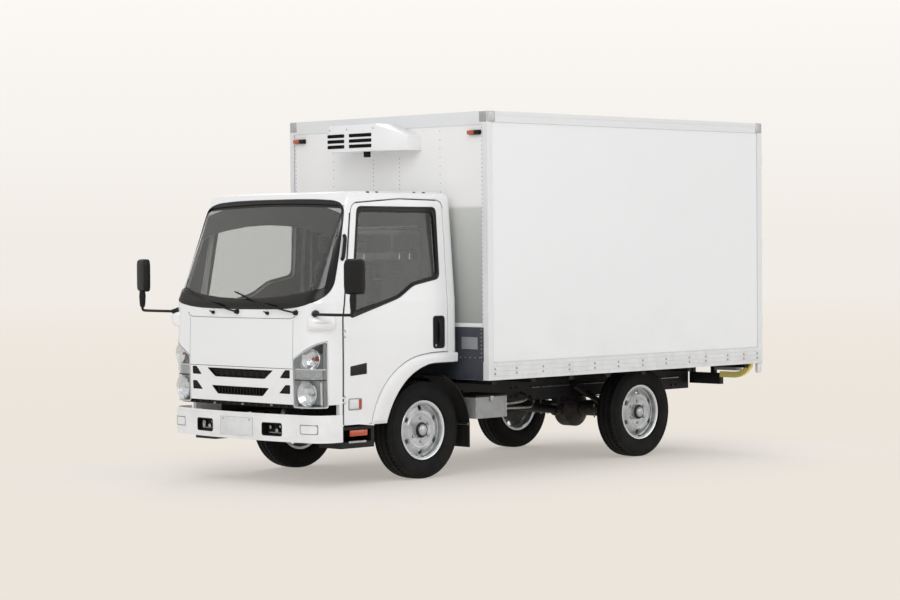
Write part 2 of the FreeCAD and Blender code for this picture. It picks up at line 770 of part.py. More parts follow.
def rear_axle():
    y = wheelbase
    tube = rod((-kingpin_x - 58, y, axle_height), (kingpin_x + 58, y, axle_height), axle_tube_radius)
    banjo = join([rod((-60, y, axle_height), (60, y, axle_height), 150),
                  Part.makeCone(150, 70, 70, V(60, y, axle_height), X_AXIS),
                  Part.makeCone(150, 70, 70, V(-60, y, axle_height), -X_AXIS)])
    nose = rod((0, y - 210, axle_height), (0, y, axle_height), 52)
    parts = [tube, banjo, nose]
    for side in (1, -1):
        parts.append(rod((side * (kingpin_x + 52), y, axle_height),
                         (side * (kingpin_x + 60), y, axle_height), 150))
        parts.append(rod((side * (kingpin_x + 50), y, axle_height), (side * (wheel_x + 70), y, axle_height),
                         spindle_radius))
    return join(parts)


spring_x = rail_x - rail_width / 2


def leaf_pack(centre_y, seat_z, half_length, rise, leaves):
    """One leaf spring with eyes, hangers and U-bolt plate."""
    thickness = 11.0
    parts = []
    for index in range(leaves):
        reach = half_length * (1 - 0.2 * index)
        drop = (leaves - 1 - index) * thickness
        lift = rise * (reach / half_length) ** 2
        low, x = seat_z + drop, spring_x - 30
        edges = [
            arc((x, centre_y - reach, low + lift), (x, centre_y, low), (x, centre_y + reach, low + lift)),
            line((x, centre_y + reach, low + lift), (x, centre_y + reach, low + lift + thickness)),
            arc((x, centre_y + reach, low + lift + thickness), (x, centre_y, low + thickness),
                (x, centre_y - reach, low + lift + thickness)),
            line((x, centre_y - reach, low + lift + thickness), (x, centre_y - reach, low + lift)),
        ]
        parts.append(side_face(edges).extrude(V(60, 0, 0)))
    top_leaf = seat_z + (leaves - 1) * thickness
    for end in (-1, 1):
        eye_y, eye_z = centre_y + end * half_length, top_leaf + rise
        parts.append(rod((spring_x - 30, eye_y, eye_z), (spring_x + 30, eye_y, eye_z), 22))
        parts.append(block(spring_x - 30, spring_x + 30, eye_y - 18, eye_y + 18, eye_z, rail_bottom))
    clamp = block(spring_x - 30, spring_x + 30, centre_y - 60, centre_y + 60, seat_z,
                  top_leaf + thickness + 10)
    parts.append(clamp)
    return join(parts)


def leaf_springs():
    front = leaf_pack(0.0, axle_height - 30, 520.0, 70.0, 4)
    rear = join([leaf_pack(wheelbase, axle_height + axle_tube_radius, 560.0, 12.0, 3), shock_absorber()])
    return apart([front, mirrored(front), rear, mirrored(rear)])


def shock_absorber():
    """Damper beside the rear spring, from the spring's clamp forward and up to the rail."""
    x = rail_x + 30
    foot, head = (x, wheelbase - 90, axle_height + 76), (x, wheelbase - 400, rail_top - 40)
    middle = tuple(a + (b - a) * 0.52 for a, b in zip(foot, head))
    lug = block(spring_x + 30, x + 20, foot[1] - 22, foot[1] + 50, foot[2] - 18, foot[2] + 6)
    bracket = block(rail_x, x + 20, head[1] - 22, head[1] + 22, head[2] - 22, head[2] + 22)
    return join([rod(foot, middle, 24), rod(middle, head, 30), lug, bracket])


def engine_block():
    engine = block(-250, 250, -400, 320, 430, 870)
    gearbox = block(-150, 150, 320, 900, 440, 640)
    mounts = [block(low, low + 60, y - 20, y + 20, rail_bottom + 60, rail_bottom + 90)
              for low in (-310 + 0.0, 250.0) for y in (-200.0, 200.0)]
    return join([engine, gearbox] + mounts).cut(apart([channel(1), channel(-1)]))


def propshaft():
    shaft = rod((0, 880, 530), (0, wheelbase - 180, axle_height), 38)
    return shaft.cut(engine_block()).cut(rear_axle())


def battery_box():
    box = block(rail_x + 110, 830, 510, 850, 425, 600)
    straps = [block(rail_x, rail_x + 110, y, y + 40, 520, 560) for y in (560.0, 760.0)]
    return join([box] + straps)


def fuel_tank():
    tank = block(rail_x + 60, 820, 700, 1500, 400, 660)
    straps = [block(rail_x, rail_x + 60, y, y + 50, 520, 560) for y in (820.0, 1330.0)]
    return mirrored(join([tank] + straps))


def exhaust():
    """Silencer hung between the rails, with its tail pipe."""
    x = -rail_x + 150
    can = rod((x, 1250, 420), (x, 1750, 420), 80)
    tail = rod((x, 1750, 420), (x, 1900, 420), 28)
    hangers = [block(x - 12, x + 12, y - 8, y + 8, 480, rail_bottom + 45) for y in (1400.0,)]
    return join([can, tail] + hangers)


def softened(shape, radius):
    """Block with its edges along Y rounded."""
    return shape.makeFillet(radius, [edge for edge in shape.Edges if edge.BoundBox.YLength > 10])


def front_bumper():
    z0, z1 = 338.0, 537.0
    outer = bumper_plan(z0, 0.0)
    inner = bumper_plan(z0, 8.0)
    shell = Part.Face(outer).extrude(V(0, 0, z1 - z0)).cut(Part.Face(inner).extrude(V(0, 0, z1 - z0)))
    skin = shell.cut(Part.Face(bumper_plan(z0, 4.0)).extrude(V(0, 0, z1 - z0)))
    pocket = softened(block(285, 485, -1250, -1100, 380, 470), 20)
    corner_recess = softened(block(665, 850, -1250, -950, 396, 468), 30)
    plate_recess = softened(block(-190, 190, -1250, -1100, 362, 502), 8)
    shell = shell.cut(pair(pocket)).cut(skin.common(pair(corner_recess))).cut(skin.common(plate_recess))
    beam = block(-640, 640, -1110, -1060, 370, 450)
    parts = [shell, beam]
    for x in (-600, 0, 600):
        parts.append(block(x - 30, x + 30, -1172 + abs(x) * 0.06, -1100, 380, 440))
    for side in (1, -1):
        low, high = sorted((side * (rail_x - 50), side * (rail_x - 10)))
        parts.append(block(low, high, -1090, -rail_front + 60, 440, rail_bottom))
    return join(parts)


def bumper_plan(z, inset):
    half = 872.0 - inset
    nose = -front_overhang + inset
    back = -900.0
    corner = 150.0 - inset
    bow = nose + 60.0
    turn = 1 - math.sqrt(0.5)
    return Part.Wire([
        line((-half, back, z), (half, back, z)),
        line((half, back, z), (half, bow + corner, z)),
        arc((half, bow + corner, z), (half - corner * turn, bow + corner * turn, z),
            (half - corner, bow, z)),
        arc((half - corner, bow, z), (0, nose, z), (corner - half, bow, z)),
        arc((corner - half, bow, z), (corner * turn - half, bow + corner * turn, z),
            (-half, bow + corner, z)),
        line((-half, bow + corner, z), (-half, back, z)),
    ])


def cab_steps():
    """Black step under each cab door, in front of the wheel."""
    box = block(600, 835, -890, -560, 285, 440)
    hollow = block(640, 900, -860, -590, 330, 420)
    stay = block(rail_x, 620, -700, -660, 380, 430)
    hanger = block(rail_x, rail_x + 20, -700, -660, 380, rail_bottom + 40)
    return pair(join([box.cut(hollow), stay, hanger]))


def mudguards():
    """Curved guards behind the front wheels."""
    guard = rod((605, 0, axle_height), (835, 0, axle_height), 438)
    guard = guard.cut(rod((600, 0, axle_height), (840, 0, axle_height), 430))
    guard = guard.common(block(600, 840, 150, 470, 330, 1000))
    flap = block(605, 835, 425, 438, 215, 400)
    stay = rod((rail_x, 434, 560), (620, 434, 560), 12)
    lug = block(600, 640, 380, 440, 540, 580).cut(rod((600, 0, axle_height), (840, 0, axle_height), 430))
    return pair(join([guard, flap, lug, stay]))


def tyre(x, y):
    half = tyre_width / 2
    r = tyre_radius
    outline = [(-64, bead_radius), (-66, flange_radius), (-84, 240), (-half, 292), (-half + 3, 330),
               (-78, r - 6),
               (-70, r), (70, r), (78, r - 6), (half - 3, 330), (half, 292), (84, 240), (66, flange_radius),
               (64, bead_radius)]
    shape = revolve_about_x(outline)
    shape.translate(V(x, y, axle_height))
    return shape


def rim(x, y):
    """Left wheel's rim, disc, hub and drum, with the outside towards +X."""
    b, w, half = bead_radius, rim_wall, rim_width / 2
    barrel = [(-half, flange_radius), (7 - half, flange_radius), (9 - half, b), (-30, b), (-20, b - 18),
              (20, b - 18), (30, b), (half - 9, b), (half - 7, flange_radius), (half, flange_radius),
              (half - 3, b - w), (34, b - w), (24, b - 18 - w), (-24, b - 18 - w), (-34, b - w),
              (3 - half, b - w)]
    disc = [(28, 184), (36, 184), (54, 150), (50, 100), (46, 58), (38, 58), (42, 100), (46, 148)]
    hub = [(-30, 0), (-30, 40), (-24, hub_radius), (60, hub_radius), (60, 44), (79, 40), (79, 0)]
    drum = [(-30, 132), (-30, 142), (38, 142), (46, 60), (38, 60), (32, 132)]
    parts = [revolve_about_x(outline) for outline in (barrel, disc, hub, drum)]
    parts.append(revolve_about_x([(20, 180), (20, 188), (36, 188), (36, 180)]))
    body = join(parts)
    holes = []
    for index in range(hand_hole_count):
        hole = Part.makeBox(60, 46, 50, V(20, -23, hand_hole_pitch_radius - 25))
        hole = hole.cut(Part.makeCylinder(145, 80, V(0, 0, 0), X_AXIS))
        hole.rotate(V(0, 0, 0), X_AXIS, 360.0 / hand_hole_count * index)
        holes.append(hole)
    body = body.cut(apart(holes))
    body = body.cut(Part.makeCylinder(spindle_radius + pin_clearance, 107 + 0.5, V(-37, 0, 0), X_AXIS))
    body.translate(V(x, y, axle_height))
    return body


def main():
    os.makedirs("parts", exist_ok=True)
    nodes = {
        "ladder_frame": ladder_frame(),
        "front_axle": front_axle(),
        "rear_axle": rear_axle(),
        "leaf_springs": leaf_springs(),
        "engine_block": engine_block(),
        "propshaft": propshaft(),
        "fuel_tank": fuel_tank(),
        "battery_box": battery_box(),
        "exhaust": exhaust(),
        "front_bumper": front_bumper(),
        "cab_steps": cab_steps(),
        "mudguards": mudguards(),
        "box_frame": box_frame(),
        "refrigeration_unit": refrigeration_unit(),
        "evaporator": evaporator(),
        "box_lamps": box_lamps(),
        "rear_bumper": rear_bumper(),
        "left_cargo_door": cargo_door(),
        "right_cargo_door": mirrored(cargo_door()),
        "cab_shell": cab_shell(),
        "front_panel": front_panel(),
        "cab_glass": cab_glass(),
        "dashboard": dashboard(),
        "steering_wheel": steering_wheel(),
        "seats": seats(),
        "cab_lamps": cab_lamps(),
        "wipers": wipers(),
        "mirrors": mirrors(),
        "front_left_knuckle": knuckle(),
        "front_right_knuckle": mirrored(knuckle()),
        "tie_rod": tie_rod(),
    }
    nodes.update(box_panels())
    leaf, pane = door(), door_glass()
    nodes["left_door"] = leaf
    nodes["right_door"] = mirrored(leaf)
    nodes["left_door_glass"] = pane
    nodes["right_door_glass"] = mirrored(pane)
    for name, y in (("front", 0.0), ("rear", wheelbase)):
        nodes[name + "_left_tyre"] = tyre(wheel_x, y)
        nodes[name + "_right_tyre"] = mirrored(tyre(wheel_x, y))
        nodes[name + "_left_rim"] = rim(wheel_x, y)
        nodes[name + "_right_rim"] = mirrored(rim(wheel_x, y))
    for name, shape in nodes.items():
        shape.translate(V(0, front_axle_y, 0))
        shape.exportStep("parts/" + name + ".step")
        print(name, len(shape.Solids), shape.isValid(), round(shape.Volume / 1e9, 5))


main()
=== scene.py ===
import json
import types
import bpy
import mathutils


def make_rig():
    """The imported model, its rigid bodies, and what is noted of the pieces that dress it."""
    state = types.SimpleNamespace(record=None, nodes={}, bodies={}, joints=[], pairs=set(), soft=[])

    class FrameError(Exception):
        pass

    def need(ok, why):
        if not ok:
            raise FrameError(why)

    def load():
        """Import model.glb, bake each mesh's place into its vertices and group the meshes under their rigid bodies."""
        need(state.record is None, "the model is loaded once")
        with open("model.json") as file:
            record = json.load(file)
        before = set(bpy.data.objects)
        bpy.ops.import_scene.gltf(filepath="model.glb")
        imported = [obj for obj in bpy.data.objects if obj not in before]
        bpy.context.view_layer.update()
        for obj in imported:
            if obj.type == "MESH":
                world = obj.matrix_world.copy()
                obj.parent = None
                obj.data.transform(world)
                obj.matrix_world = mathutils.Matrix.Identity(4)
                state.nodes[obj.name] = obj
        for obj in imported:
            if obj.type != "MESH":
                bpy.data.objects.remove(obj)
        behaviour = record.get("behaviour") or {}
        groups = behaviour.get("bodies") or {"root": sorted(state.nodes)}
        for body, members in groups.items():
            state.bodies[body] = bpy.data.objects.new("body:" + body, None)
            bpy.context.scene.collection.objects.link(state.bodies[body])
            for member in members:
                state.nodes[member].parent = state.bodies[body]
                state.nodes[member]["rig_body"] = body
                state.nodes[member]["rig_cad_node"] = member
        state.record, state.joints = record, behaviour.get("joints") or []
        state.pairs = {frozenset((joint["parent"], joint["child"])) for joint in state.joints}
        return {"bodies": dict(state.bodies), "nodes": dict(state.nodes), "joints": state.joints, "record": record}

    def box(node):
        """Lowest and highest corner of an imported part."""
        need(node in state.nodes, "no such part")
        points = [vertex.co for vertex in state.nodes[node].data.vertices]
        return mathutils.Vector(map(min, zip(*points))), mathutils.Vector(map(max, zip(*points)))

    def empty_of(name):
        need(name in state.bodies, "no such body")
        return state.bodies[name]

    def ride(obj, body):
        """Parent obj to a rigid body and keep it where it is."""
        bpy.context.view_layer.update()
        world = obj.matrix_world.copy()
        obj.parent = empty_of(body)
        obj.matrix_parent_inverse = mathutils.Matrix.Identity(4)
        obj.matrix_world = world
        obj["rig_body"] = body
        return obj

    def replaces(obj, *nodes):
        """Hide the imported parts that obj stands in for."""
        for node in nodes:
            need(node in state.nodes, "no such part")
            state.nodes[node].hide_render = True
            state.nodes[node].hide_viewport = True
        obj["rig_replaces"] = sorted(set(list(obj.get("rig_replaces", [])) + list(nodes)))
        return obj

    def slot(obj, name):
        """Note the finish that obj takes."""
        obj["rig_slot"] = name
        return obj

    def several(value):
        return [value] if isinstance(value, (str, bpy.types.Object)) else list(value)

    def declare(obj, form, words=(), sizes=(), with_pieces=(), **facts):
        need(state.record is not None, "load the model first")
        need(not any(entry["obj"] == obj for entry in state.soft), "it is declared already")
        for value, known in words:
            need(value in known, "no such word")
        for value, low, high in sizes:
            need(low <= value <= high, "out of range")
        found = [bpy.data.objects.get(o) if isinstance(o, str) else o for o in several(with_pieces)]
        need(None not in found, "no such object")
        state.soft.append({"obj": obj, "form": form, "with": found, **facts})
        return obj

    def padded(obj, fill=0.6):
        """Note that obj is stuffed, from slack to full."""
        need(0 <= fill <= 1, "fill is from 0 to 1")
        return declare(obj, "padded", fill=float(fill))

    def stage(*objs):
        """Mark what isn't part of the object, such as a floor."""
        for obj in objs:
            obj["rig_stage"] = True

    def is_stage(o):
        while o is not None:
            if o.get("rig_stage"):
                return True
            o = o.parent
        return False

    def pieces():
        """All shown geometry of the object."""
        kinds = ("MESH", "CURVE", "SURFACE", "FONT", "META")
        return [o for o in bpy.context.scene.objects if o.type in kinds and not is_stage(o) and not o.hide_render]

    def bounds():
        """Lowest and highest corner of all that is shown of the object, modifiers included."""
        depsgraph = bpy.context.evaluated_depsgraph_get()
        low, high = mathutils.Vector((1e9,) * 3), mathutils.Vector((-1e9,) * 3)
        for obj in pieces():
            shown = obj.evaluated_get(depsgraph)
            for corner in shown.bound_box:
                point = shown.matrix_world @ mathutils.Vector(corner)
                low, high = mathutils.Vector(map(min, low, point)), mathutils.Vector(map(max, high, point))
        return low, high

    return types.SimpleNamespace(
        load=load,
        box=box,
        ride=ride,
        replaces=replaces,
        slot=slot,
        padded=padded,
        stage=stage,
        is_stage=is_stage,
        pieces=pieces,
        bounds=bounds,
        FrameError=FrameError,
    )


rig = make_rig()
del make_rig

bl_info = {
    "name": "Refrigerated truck",
    "version": (1, 0, 0),
    "blender": (4, 5, 0),
    "location": "3D View > Sidebar > Truck",
    "description": "Models and finishes a light refrigerated truck around its packed frame",
    "category": "Object",
}

import json
import math

import bmesh
import bpy
from bpy.props import FloatProperty, FloatVectorProperty, IntProperty, PointerProperty
from mathutils import Matrix, Vector

import sys

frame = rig.load()
cad_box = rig.bounds()

# Lengths are metres. X points to the truck's left, Y to its rear, Z up. WALL is the outer face of the box's
# front wall, behind the frame's by WALL_SINK, WALL_HALF its half width between the posts, and BOX_REAR the rear
# doors' face. Vertices nearer to each other than WELD are one.
FRONT_AXLE = (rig.box("front_left_tyre")[0].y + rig.box("front_left_tyre")[1].y) / 2
WHEELBASE = (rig.box("rear_left_tyre")[0].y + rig.box("rear_left_tyre")[1].y) / 2 - FRONT_AXLE
WHEEL_X = (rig.box("front_left_tyre")[0].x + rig.box("front_left_tyre")[1].x) / 2
TYRE_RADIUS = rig.box("front_left_tyre")[1].z / 2
BOX_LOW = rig.box("box_frame")[0] - Vector((0, FRONT_AXLE, 0))
BOX_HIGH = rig.box("box_frame")[1] - Vector((0, FRONT_AXLE, 0))
WALL_SINK = 0.006
WALL = BOX_LOW.y + WALL_SINK
WALL_HALF = 1.068
BOX_REAR = WHEELBASE + 1.182
WELD = 0.00002
X, Y, Z = Vector((1, 0, 0)), Vector((0, 1, 0)), Vector((0, 0, 1))
SIDES = (("left", 1), ("right", -1))


# Colours and nodes

def linear(hex_colour):
    """Linear colour of an sRGB hex value."""
    values = [int(hex_colour[i:i + 2], 16) / 255 for i in (1, 3, 5)]
    return tuple(v / 12.92 if v <= 0.04045 else ((v + 0.055) / 1.055) ** 2.4 for v in values) + (1.0,)


def per_mm(size):
    """Pattern scale on Object coordinates for a feature of a size in millimetres."""
    return 1000.0 / size


def add_node(tree, kind, settings=None, links=None):
    """Adds a node with its settings and links."""
    made = tree.nodes.new(kind)
    for key, value in (settings or {}).items():
        if isinstance(key, str) and hasattr(made, key):
            setattr(made, key, value)
        else:
            made.inputs[key].default_value = value
    for key, socket in (links or {}).items():
        tree.links.new(socket, made.inputs[key])
    return made


def roughen(tree, shader, size, depth, detail=2.0, stretch=(1, 1, 1)):
    """Bump of a grain size and depth in millimetres."""
    place = add_node(tree, "ShaderNodeTexCoord")
    turned = add_node(tree, "ShaderNodeMapping", {"Scale": stretch}, {"Vector": place.outputs["Object"]})
    grain = add_node(tree, "ShaderNodeTexNoise", {"Scale": per_mm(size), "Detail": detail},
                     {"Vector": turned.outputs["Vector"]})
    bump = add_node(tree, "ShaderNodeBump", {"Strength": 1.0, "Distance": depth / 1000},
                    {"Height": grain.outputs["Fac"]})
    tree.links.new(bump.outputs["Normal"], shader.inputs["Normal"])


def weather(tree, shader, clean, dusty, size, low, high, base=0.1):
    """Dust over the clean colour, in patches of a size in millimetres, thickest at the low height and thin above
    the high one."""
    place = add_node(tree, "ShaderNodeTexCoord")
    cloud = add_node(tree, "ShaderNodeTexNoise", {"Scale": per_mm(size), "Detail": 4.0, "Roughness": 0.6},
                     {"Vector": place.outputs["Object"]})
    parts = add_node(tree, "ShaderNodeSeparateXYZ", None, {0: place.outputs["Object"]})
    height = add_node(tree, "ShaderNodeMapRange", {"From Min": low, "From Max": high, "To Min": 1.0, "To Max": base},
                      {"Value": parts.outputs["Z"]})
    thick = add_node(tree, "ShaderNodeMapRange", {"From Min": 0.35, "From Max": 0.75},
                     {"Value": cloud.outputs["Fac"]})
    amount = add_node(tree, "ShaderNodeMath", {"operation": "MULTIPLY"},
                      {0: height.outputs["Result"], 1: thick.outputs["Result"]})
    mixed = add_node(tree, "ShaderNodeMix", {"data_type": "RGBA", 6: clean, 7: linear(dusty)},
                     {0: amount.outputs["Value"]})
    tree.links.new(mixed.outputs[2], shader.inputs["Base Color"])


# Finishes, each named for the real material, and two for the painted shade that they carry. The comment over a row says
# what that material gives the eye.

def coated(weight, roughness):
    return {"Coat Weight": weight, "Coat Roughness": roughness}


def dull(level):
    return {"Specular IOR Level": level}


def clear(ior):
    return {"Transmission Weight": 1.0, "IOR": ior}


# Name, colour (or the setting that holds it), roughness, metallic, other sockets, grain as (size mm, depth mm,
# detail, stretch), and dust as (colour, patch size mm, height where it is full, height where it is thin, share left)
FINISH_ROWS = {
    # Stoving enamel over pressed steel: bright, smooth and glossy, with a trace of road dust low down.
    "enamel": ("stoving_enamel_white", "cab_colour", 0.32, 0, coated(0.6, 0.05), (2.5, 0.02),
               ("#E6E5E2", 180, 0.35, 0.95, 0.05)),
    # Gel coat on glass fibre sandwich panels: satin white, gently wavy over hand widths.
    "gelcoat": ("gelcoat_panel_white", "box_colour", 0.4, 0, coated(0.2, 0.2), (260, 0.6, 1.0),
                ("#E8E8E7", 420, 0.6, 1.4, 0.15)),
    # Lacquered aluminium extrusion: white, a little greyer than the panels.
    "lacquer": ("lacquered_aluminium_white", "#E6E7E7", 0.38, 0, coated(0.3, 0.15), (8, 0.03, 2.0, (1, 0.05, 1)),
                ("#D3D2CF", 140, 0.7, 1.1, 0.1)),
    # Sand-cast and milled aluminium: light grey with fine directional scratches.
    "aluminium": ("milled_aluminium", "#B9BCBE", 0.42, 1, {}, (3, 0.05, 3.0, (1, 0.15, 1)),
                  ("#8E8F8E", 60, 0.5, 2.6, 0.5)),
    # Silver lacquer on a pressed steel wheel: fine metallic flake, brake dust in the low places.
    "wheel": ("silver_wheel_lacquer", "wheel_colour", 0.34, 0.55, coated(0.3, 0.12), (1.6, 0.02),
              ("#8B8985", 70, 0.05, 0.8, 0.25)),
    # Carbon black rubber, moulded: dull dark grey that dust turns slightly brown.
    "tyre": ("moulded_tyre_rubber", "#111112", 0.8, 0, dull(0.2), (2.2, 0.12, 3.0), ("#262422", 90, 0.0, 0.75, 0.2)),
    # Moulded polypropylene with a pinhead grain: black, low sheen. The 1 mm grain is drawn at 3 mm to show.
    "plastic": ("grained_polypropylene_black", "#111112", 0.5, 0, dull(0.25), (3.0, 0.12, 1.0),
                ("#282624", 120, 0.2, 1.0, 0.08)),
    # Brushed and sprayed chassis paint on rolled steel: satin black under a film of road dust.
    "chassis": ("chassis_paint_black", "#0E0D10", 0.5, 0, dull(0.25), (9, 0.15, 3.0),
                ("#2A2728", 110, 0.15, 1.0, 0.15)),
    # Rough cast iron with thin paint: dark grey, pitted.
    "iron": ("painted_cast_iron", "#2C2C2D", 0.62, 0.25, {}, (5, 0.35, 4.0), ("#5A4D40", 60, 0.1, 0.9, 0.3)),
    # Zinc plated steel: pale grey, soft reflections with a crystalline mottle.
    "steel": ("zinc_plated_steel", "#B0B2B4", 0.36, 1, {}, (6, 0.05, 3.0), ("#7C7A76", 25, 0.2, 2.5, 0.4)),
    # Vacuum plated reflector and mirror glass: clear reflections with a faint haze.
    "chrome": ("vacuum_plated_chrome", "#DADCDE", 0.12, 1, {}, (14, 0.02), None),
    # Float glass with a grey-green tint: clear, with sharp reflections.
    "glass": ("tinted_float_glass", "#DDE0E0", 0.02, 0, clear(1.45), (300, 0.05, 0.0), None),
    # Injection moulded polycarbonate lens: clear and hard coated.
    "lens": ("polycarbonate_lens_clear", "#F4F6F8", 0.04, 0, clear(1.3), (40, 0.05, 0.0), None),
    # Fired ceramic border of the panes and gloss black plates: black with a glassy coat. It also gives the painted
    # shade inside the windscreen's top.
    "glaze": ("ceramic_glaze_black", "#060607", 0.25, 0, dull(0.3), (1.5, 0.01), None),
    # Extruded rubber seal: matt black with a fine drag mark. Along the doors' front edges it is widened into painted
    # shade of the gaps, and under the bumper recesses' tops it is painted shadow.
    "rubber": ("extruded_rubber_black", "#0C0C0C", 0.7, 0, dull(0.25), (4, 0.1, 2.0, (1, 1, 0.2)), None),
    # Dyed acrylic: deep orange, glossy, with a prismatic inside that scatters.
    "amber": ("dyed_acrylic_amber", "#B8430F", 0.16, 0, coated(0.7, 0.03), (7, 0.25, 0.0), None),
    # Dyed acrylic: deep red, glossy.
    "red": ("dyed_acrylic_red", "#A3191B", 0.16, 0, coated(0.7, 0.03), (7, 0.25, 0.0), None),
    # Grey moulded plastic inside the lamps: satin, slightly metallic.
    "smoke": ("moulded_plastic_smoke_grey", "#9A9C9E", 0.35, 0.4, {}, (5, 0.05), None),
    # Slush moulded trim with a leather-like grain: warm dark grey.
    "trim": ("grained_trim_grey", "#3C3C3F", 0.62, 0, {}, (3.5, 0.25, 2.0), ("#4B4B4D", 300, 0.6, 2.2, 0.6)),
    # Flat woven polyester: dark grey yarns 1 mm apart, drawn 5 mm apart so that they show.
    "cloth": ("woven_polyester_grey", "#46474B", 0.85, 0, {"Sheen Weight": 0.3}, None, None),
    # Chrome yellow enamel on the bumper's ends, chipped and dusty.
    "yellow": ("signal_enamel_yellow", "bumper_end_colour", 0.4, 0, coated(0.3, 0.1), (6, 0.05),
               ("#F6DC6E", 40, 0.3, 0.9, 0.2)),
    # Grey stoving paint on sheet steel: even satin, dusty.
    "tank": ("stoving_paint_grey", "#A6A8AA", 0.45, 0.1, {}, (5, 0.05), ("#8A8884", 90, 0.3, 0.8, 0.2)),
    # Unlit plastic behind grille slots: black and dull.
    "grille": ("moulded_grille_black", "#060606", 0.6, 0, dull(0.2), (4, 0.1), None),
    # Machined and lacquered rim edge: brighter than the wheel's face.
    "rim_bright": ("machined_rim_lacquer", "#E4E7EA", 0.2, 0.7, coated(0.4, 0.06), (2.0, 0.01), None),
    # Dark blue-grey paint on the steel kick plate of the front wall.
    "kick": ("kick_plate_paint", "kick_plate_colour", 0.5, 0, {}, (6, 0.06), ("#2E3036", 150, 0.7, 1.3, 0.3)),
    # Painted shade of the seams: matt mid grey lines along the gaps.
    "sealant": ("joint_sealant_grey", "#8E9092", 0.7, 0, {}, (5, 0.05), None),
    # Prismatic reflex plastic, with beads 6 mm apart: silver grey and dotted.
    "reflex": ("reflex_prism_plastic", "#BFC1C3", 0.3, 0.4, {}, None, None),
    # Clear acrylic over a white reflector: milky, glossy.
    "lens_white": ("frosted_acrylic_clear", "#DCDEE0", 0.14, 0, coated(0.7, 0.03), (7, 0.25, 0.0), None),
    # Silver lacquered housing inside the headlamps: pale satin grey.
    "silver": ("silver_lacquered_housing", "#D4D6D8", 0.3, 0.35, {}, (5, 0.04), None),
    # Gel coat panel behind the cab, grey-green with painted shade of the cab that darkens downwards.
    "film": ("filmed_gelcoat_grey", "#C9CBC7", 0.5, 0, {}, (260, 0.6, 1.0), None),
    # Needled felt and board on the cab's inside: dark, dull grey.
    "felt": ("needled_felt_dark", "#2A2B2D", 0.9, 0, {}, (3, 0.2, 3.0), None),
}
FINISHES = {}


def tint_and_bump(tree, shader, amount, low, high, depth):
    """Base colour between two tints by a pattern's amount, and bumps as deep as depth in millimetres."""
    tint = add_node(tree, "ShaderNodeMix", {"data_type": "RGBA", 6: linear(low), 7: linear(high)}, {0: amount})
    tree.links.new(tint.outputs[2], shader.inputs["Base Color"])
    bump = add_node(tree, "ShaderNodeBump", {"Distance": depth / 1000}, {"Height": amount})
    tree.links.new(bump.outputs["Normal"], shader.inputs["Normal"])


def weave(tree, shader):
    """Crossed yarns of the seat cloth."""
    place = add_node(tree, "ShaderNodeTexCoord")
    yarns = [add_node(tree, "ShaderNodeTexWave", {"Scale": per_mm(5) / 20, "bands_direction": axis},
                      {"Vector": place.outputs["Object"]}) for axis in "XZ"]
    both = add_node(tree, "ShaderNodeMath", {"operation": "MULTIPLY"},
                    {0: yarns[0].outputs["Fac"], 1: yarns[1].outputs["Fac"]})
    tint_and_bump(tree, shader, both.outputs["Value"], "#36373A", "#55565B", 0.6)


def beads(tree, shader):
    """Beads of the reflex plastic."""
    place = add_node(tree, "ShaderNodeTexCoord")
    cells = add_node(tree, "ShaderNodeTexVoronoi", {"Scale": per_mm(6)}, {"Vector": place.outputs["Object"]})
    tint_and_bump(tree, shader, cells.outputs["Distance"], "#8C8E90", "#D6D8DA", 1.0)


def road_film(tree, shader):
    """Painted shade of the cab on the front wall, darker downwards, up to the line above which the wall is white and
    unshaded.
    """
    place = add_node(tree, "ShaderNodeTexCoord")
    parts = add_node(tree, "ShaderNodeSeparateXYZ", None, {0: place.outputs["Object"]})
    height = add_node(tree, "ShaderNodeMapRange", {"From Min": 1.15, "From Max": 2.0}, {"Value": parts.outputs["Z"]})
    tint = add_node(tree, "ShaderNodeMix", {"data_type": "RGBA", 6: linear("#9DA09C"), 7: linear("#CDCFCB")},
                    {0: height.outputs["Result"]})
    clean = add_node(tree, "ShaderNodeMapRange", {"From Min": 2.03, "From Max": 2.06}, {"Value": parts.outputs["Z"]})
    tint = add_node(tree, "ShaderNodeMix", {"data_type": "RGBA", 7: linear("#F4F3F1")},
                    {0: clean.outputs["Result"], 6: tint.outputs[2]})
    tree.links.new(tint.outputs[2], shader.inputs["Base Color"])


PATTERNS = {"cloth": weave, "reflex": beads, "film": road_film}


def make_finishes(settings):
    """One material for each row, with its even values on the shader's own sockets."""
    for key, (name, colour, roughness, metallic, sockets, grain, dust) in FINISH_ROWS.items():
        colour = linear(colour) if colour.startswith("#") else tuple(getattr(settings, colour))
        material = bpy.data.materials.new(name)
        material.use_nodes = True
        tree = material.node_tree
        shader = tree.nodes["Principled BSDF"]
        values = {"Base Color": colour, "Roughness": roughness, "Metallic": metallic, **sockets}
        for socket, value in values.items():
            shader.inputs[socket].default_value = value
        if grain:
            roughen(tree, shader, *grain)
        if dust:
            weather(tree, shader, colour, *dust)
        if key in PATTERNS:
            PATTERNS[key](tree, shader)
        FINISHES[key] = material


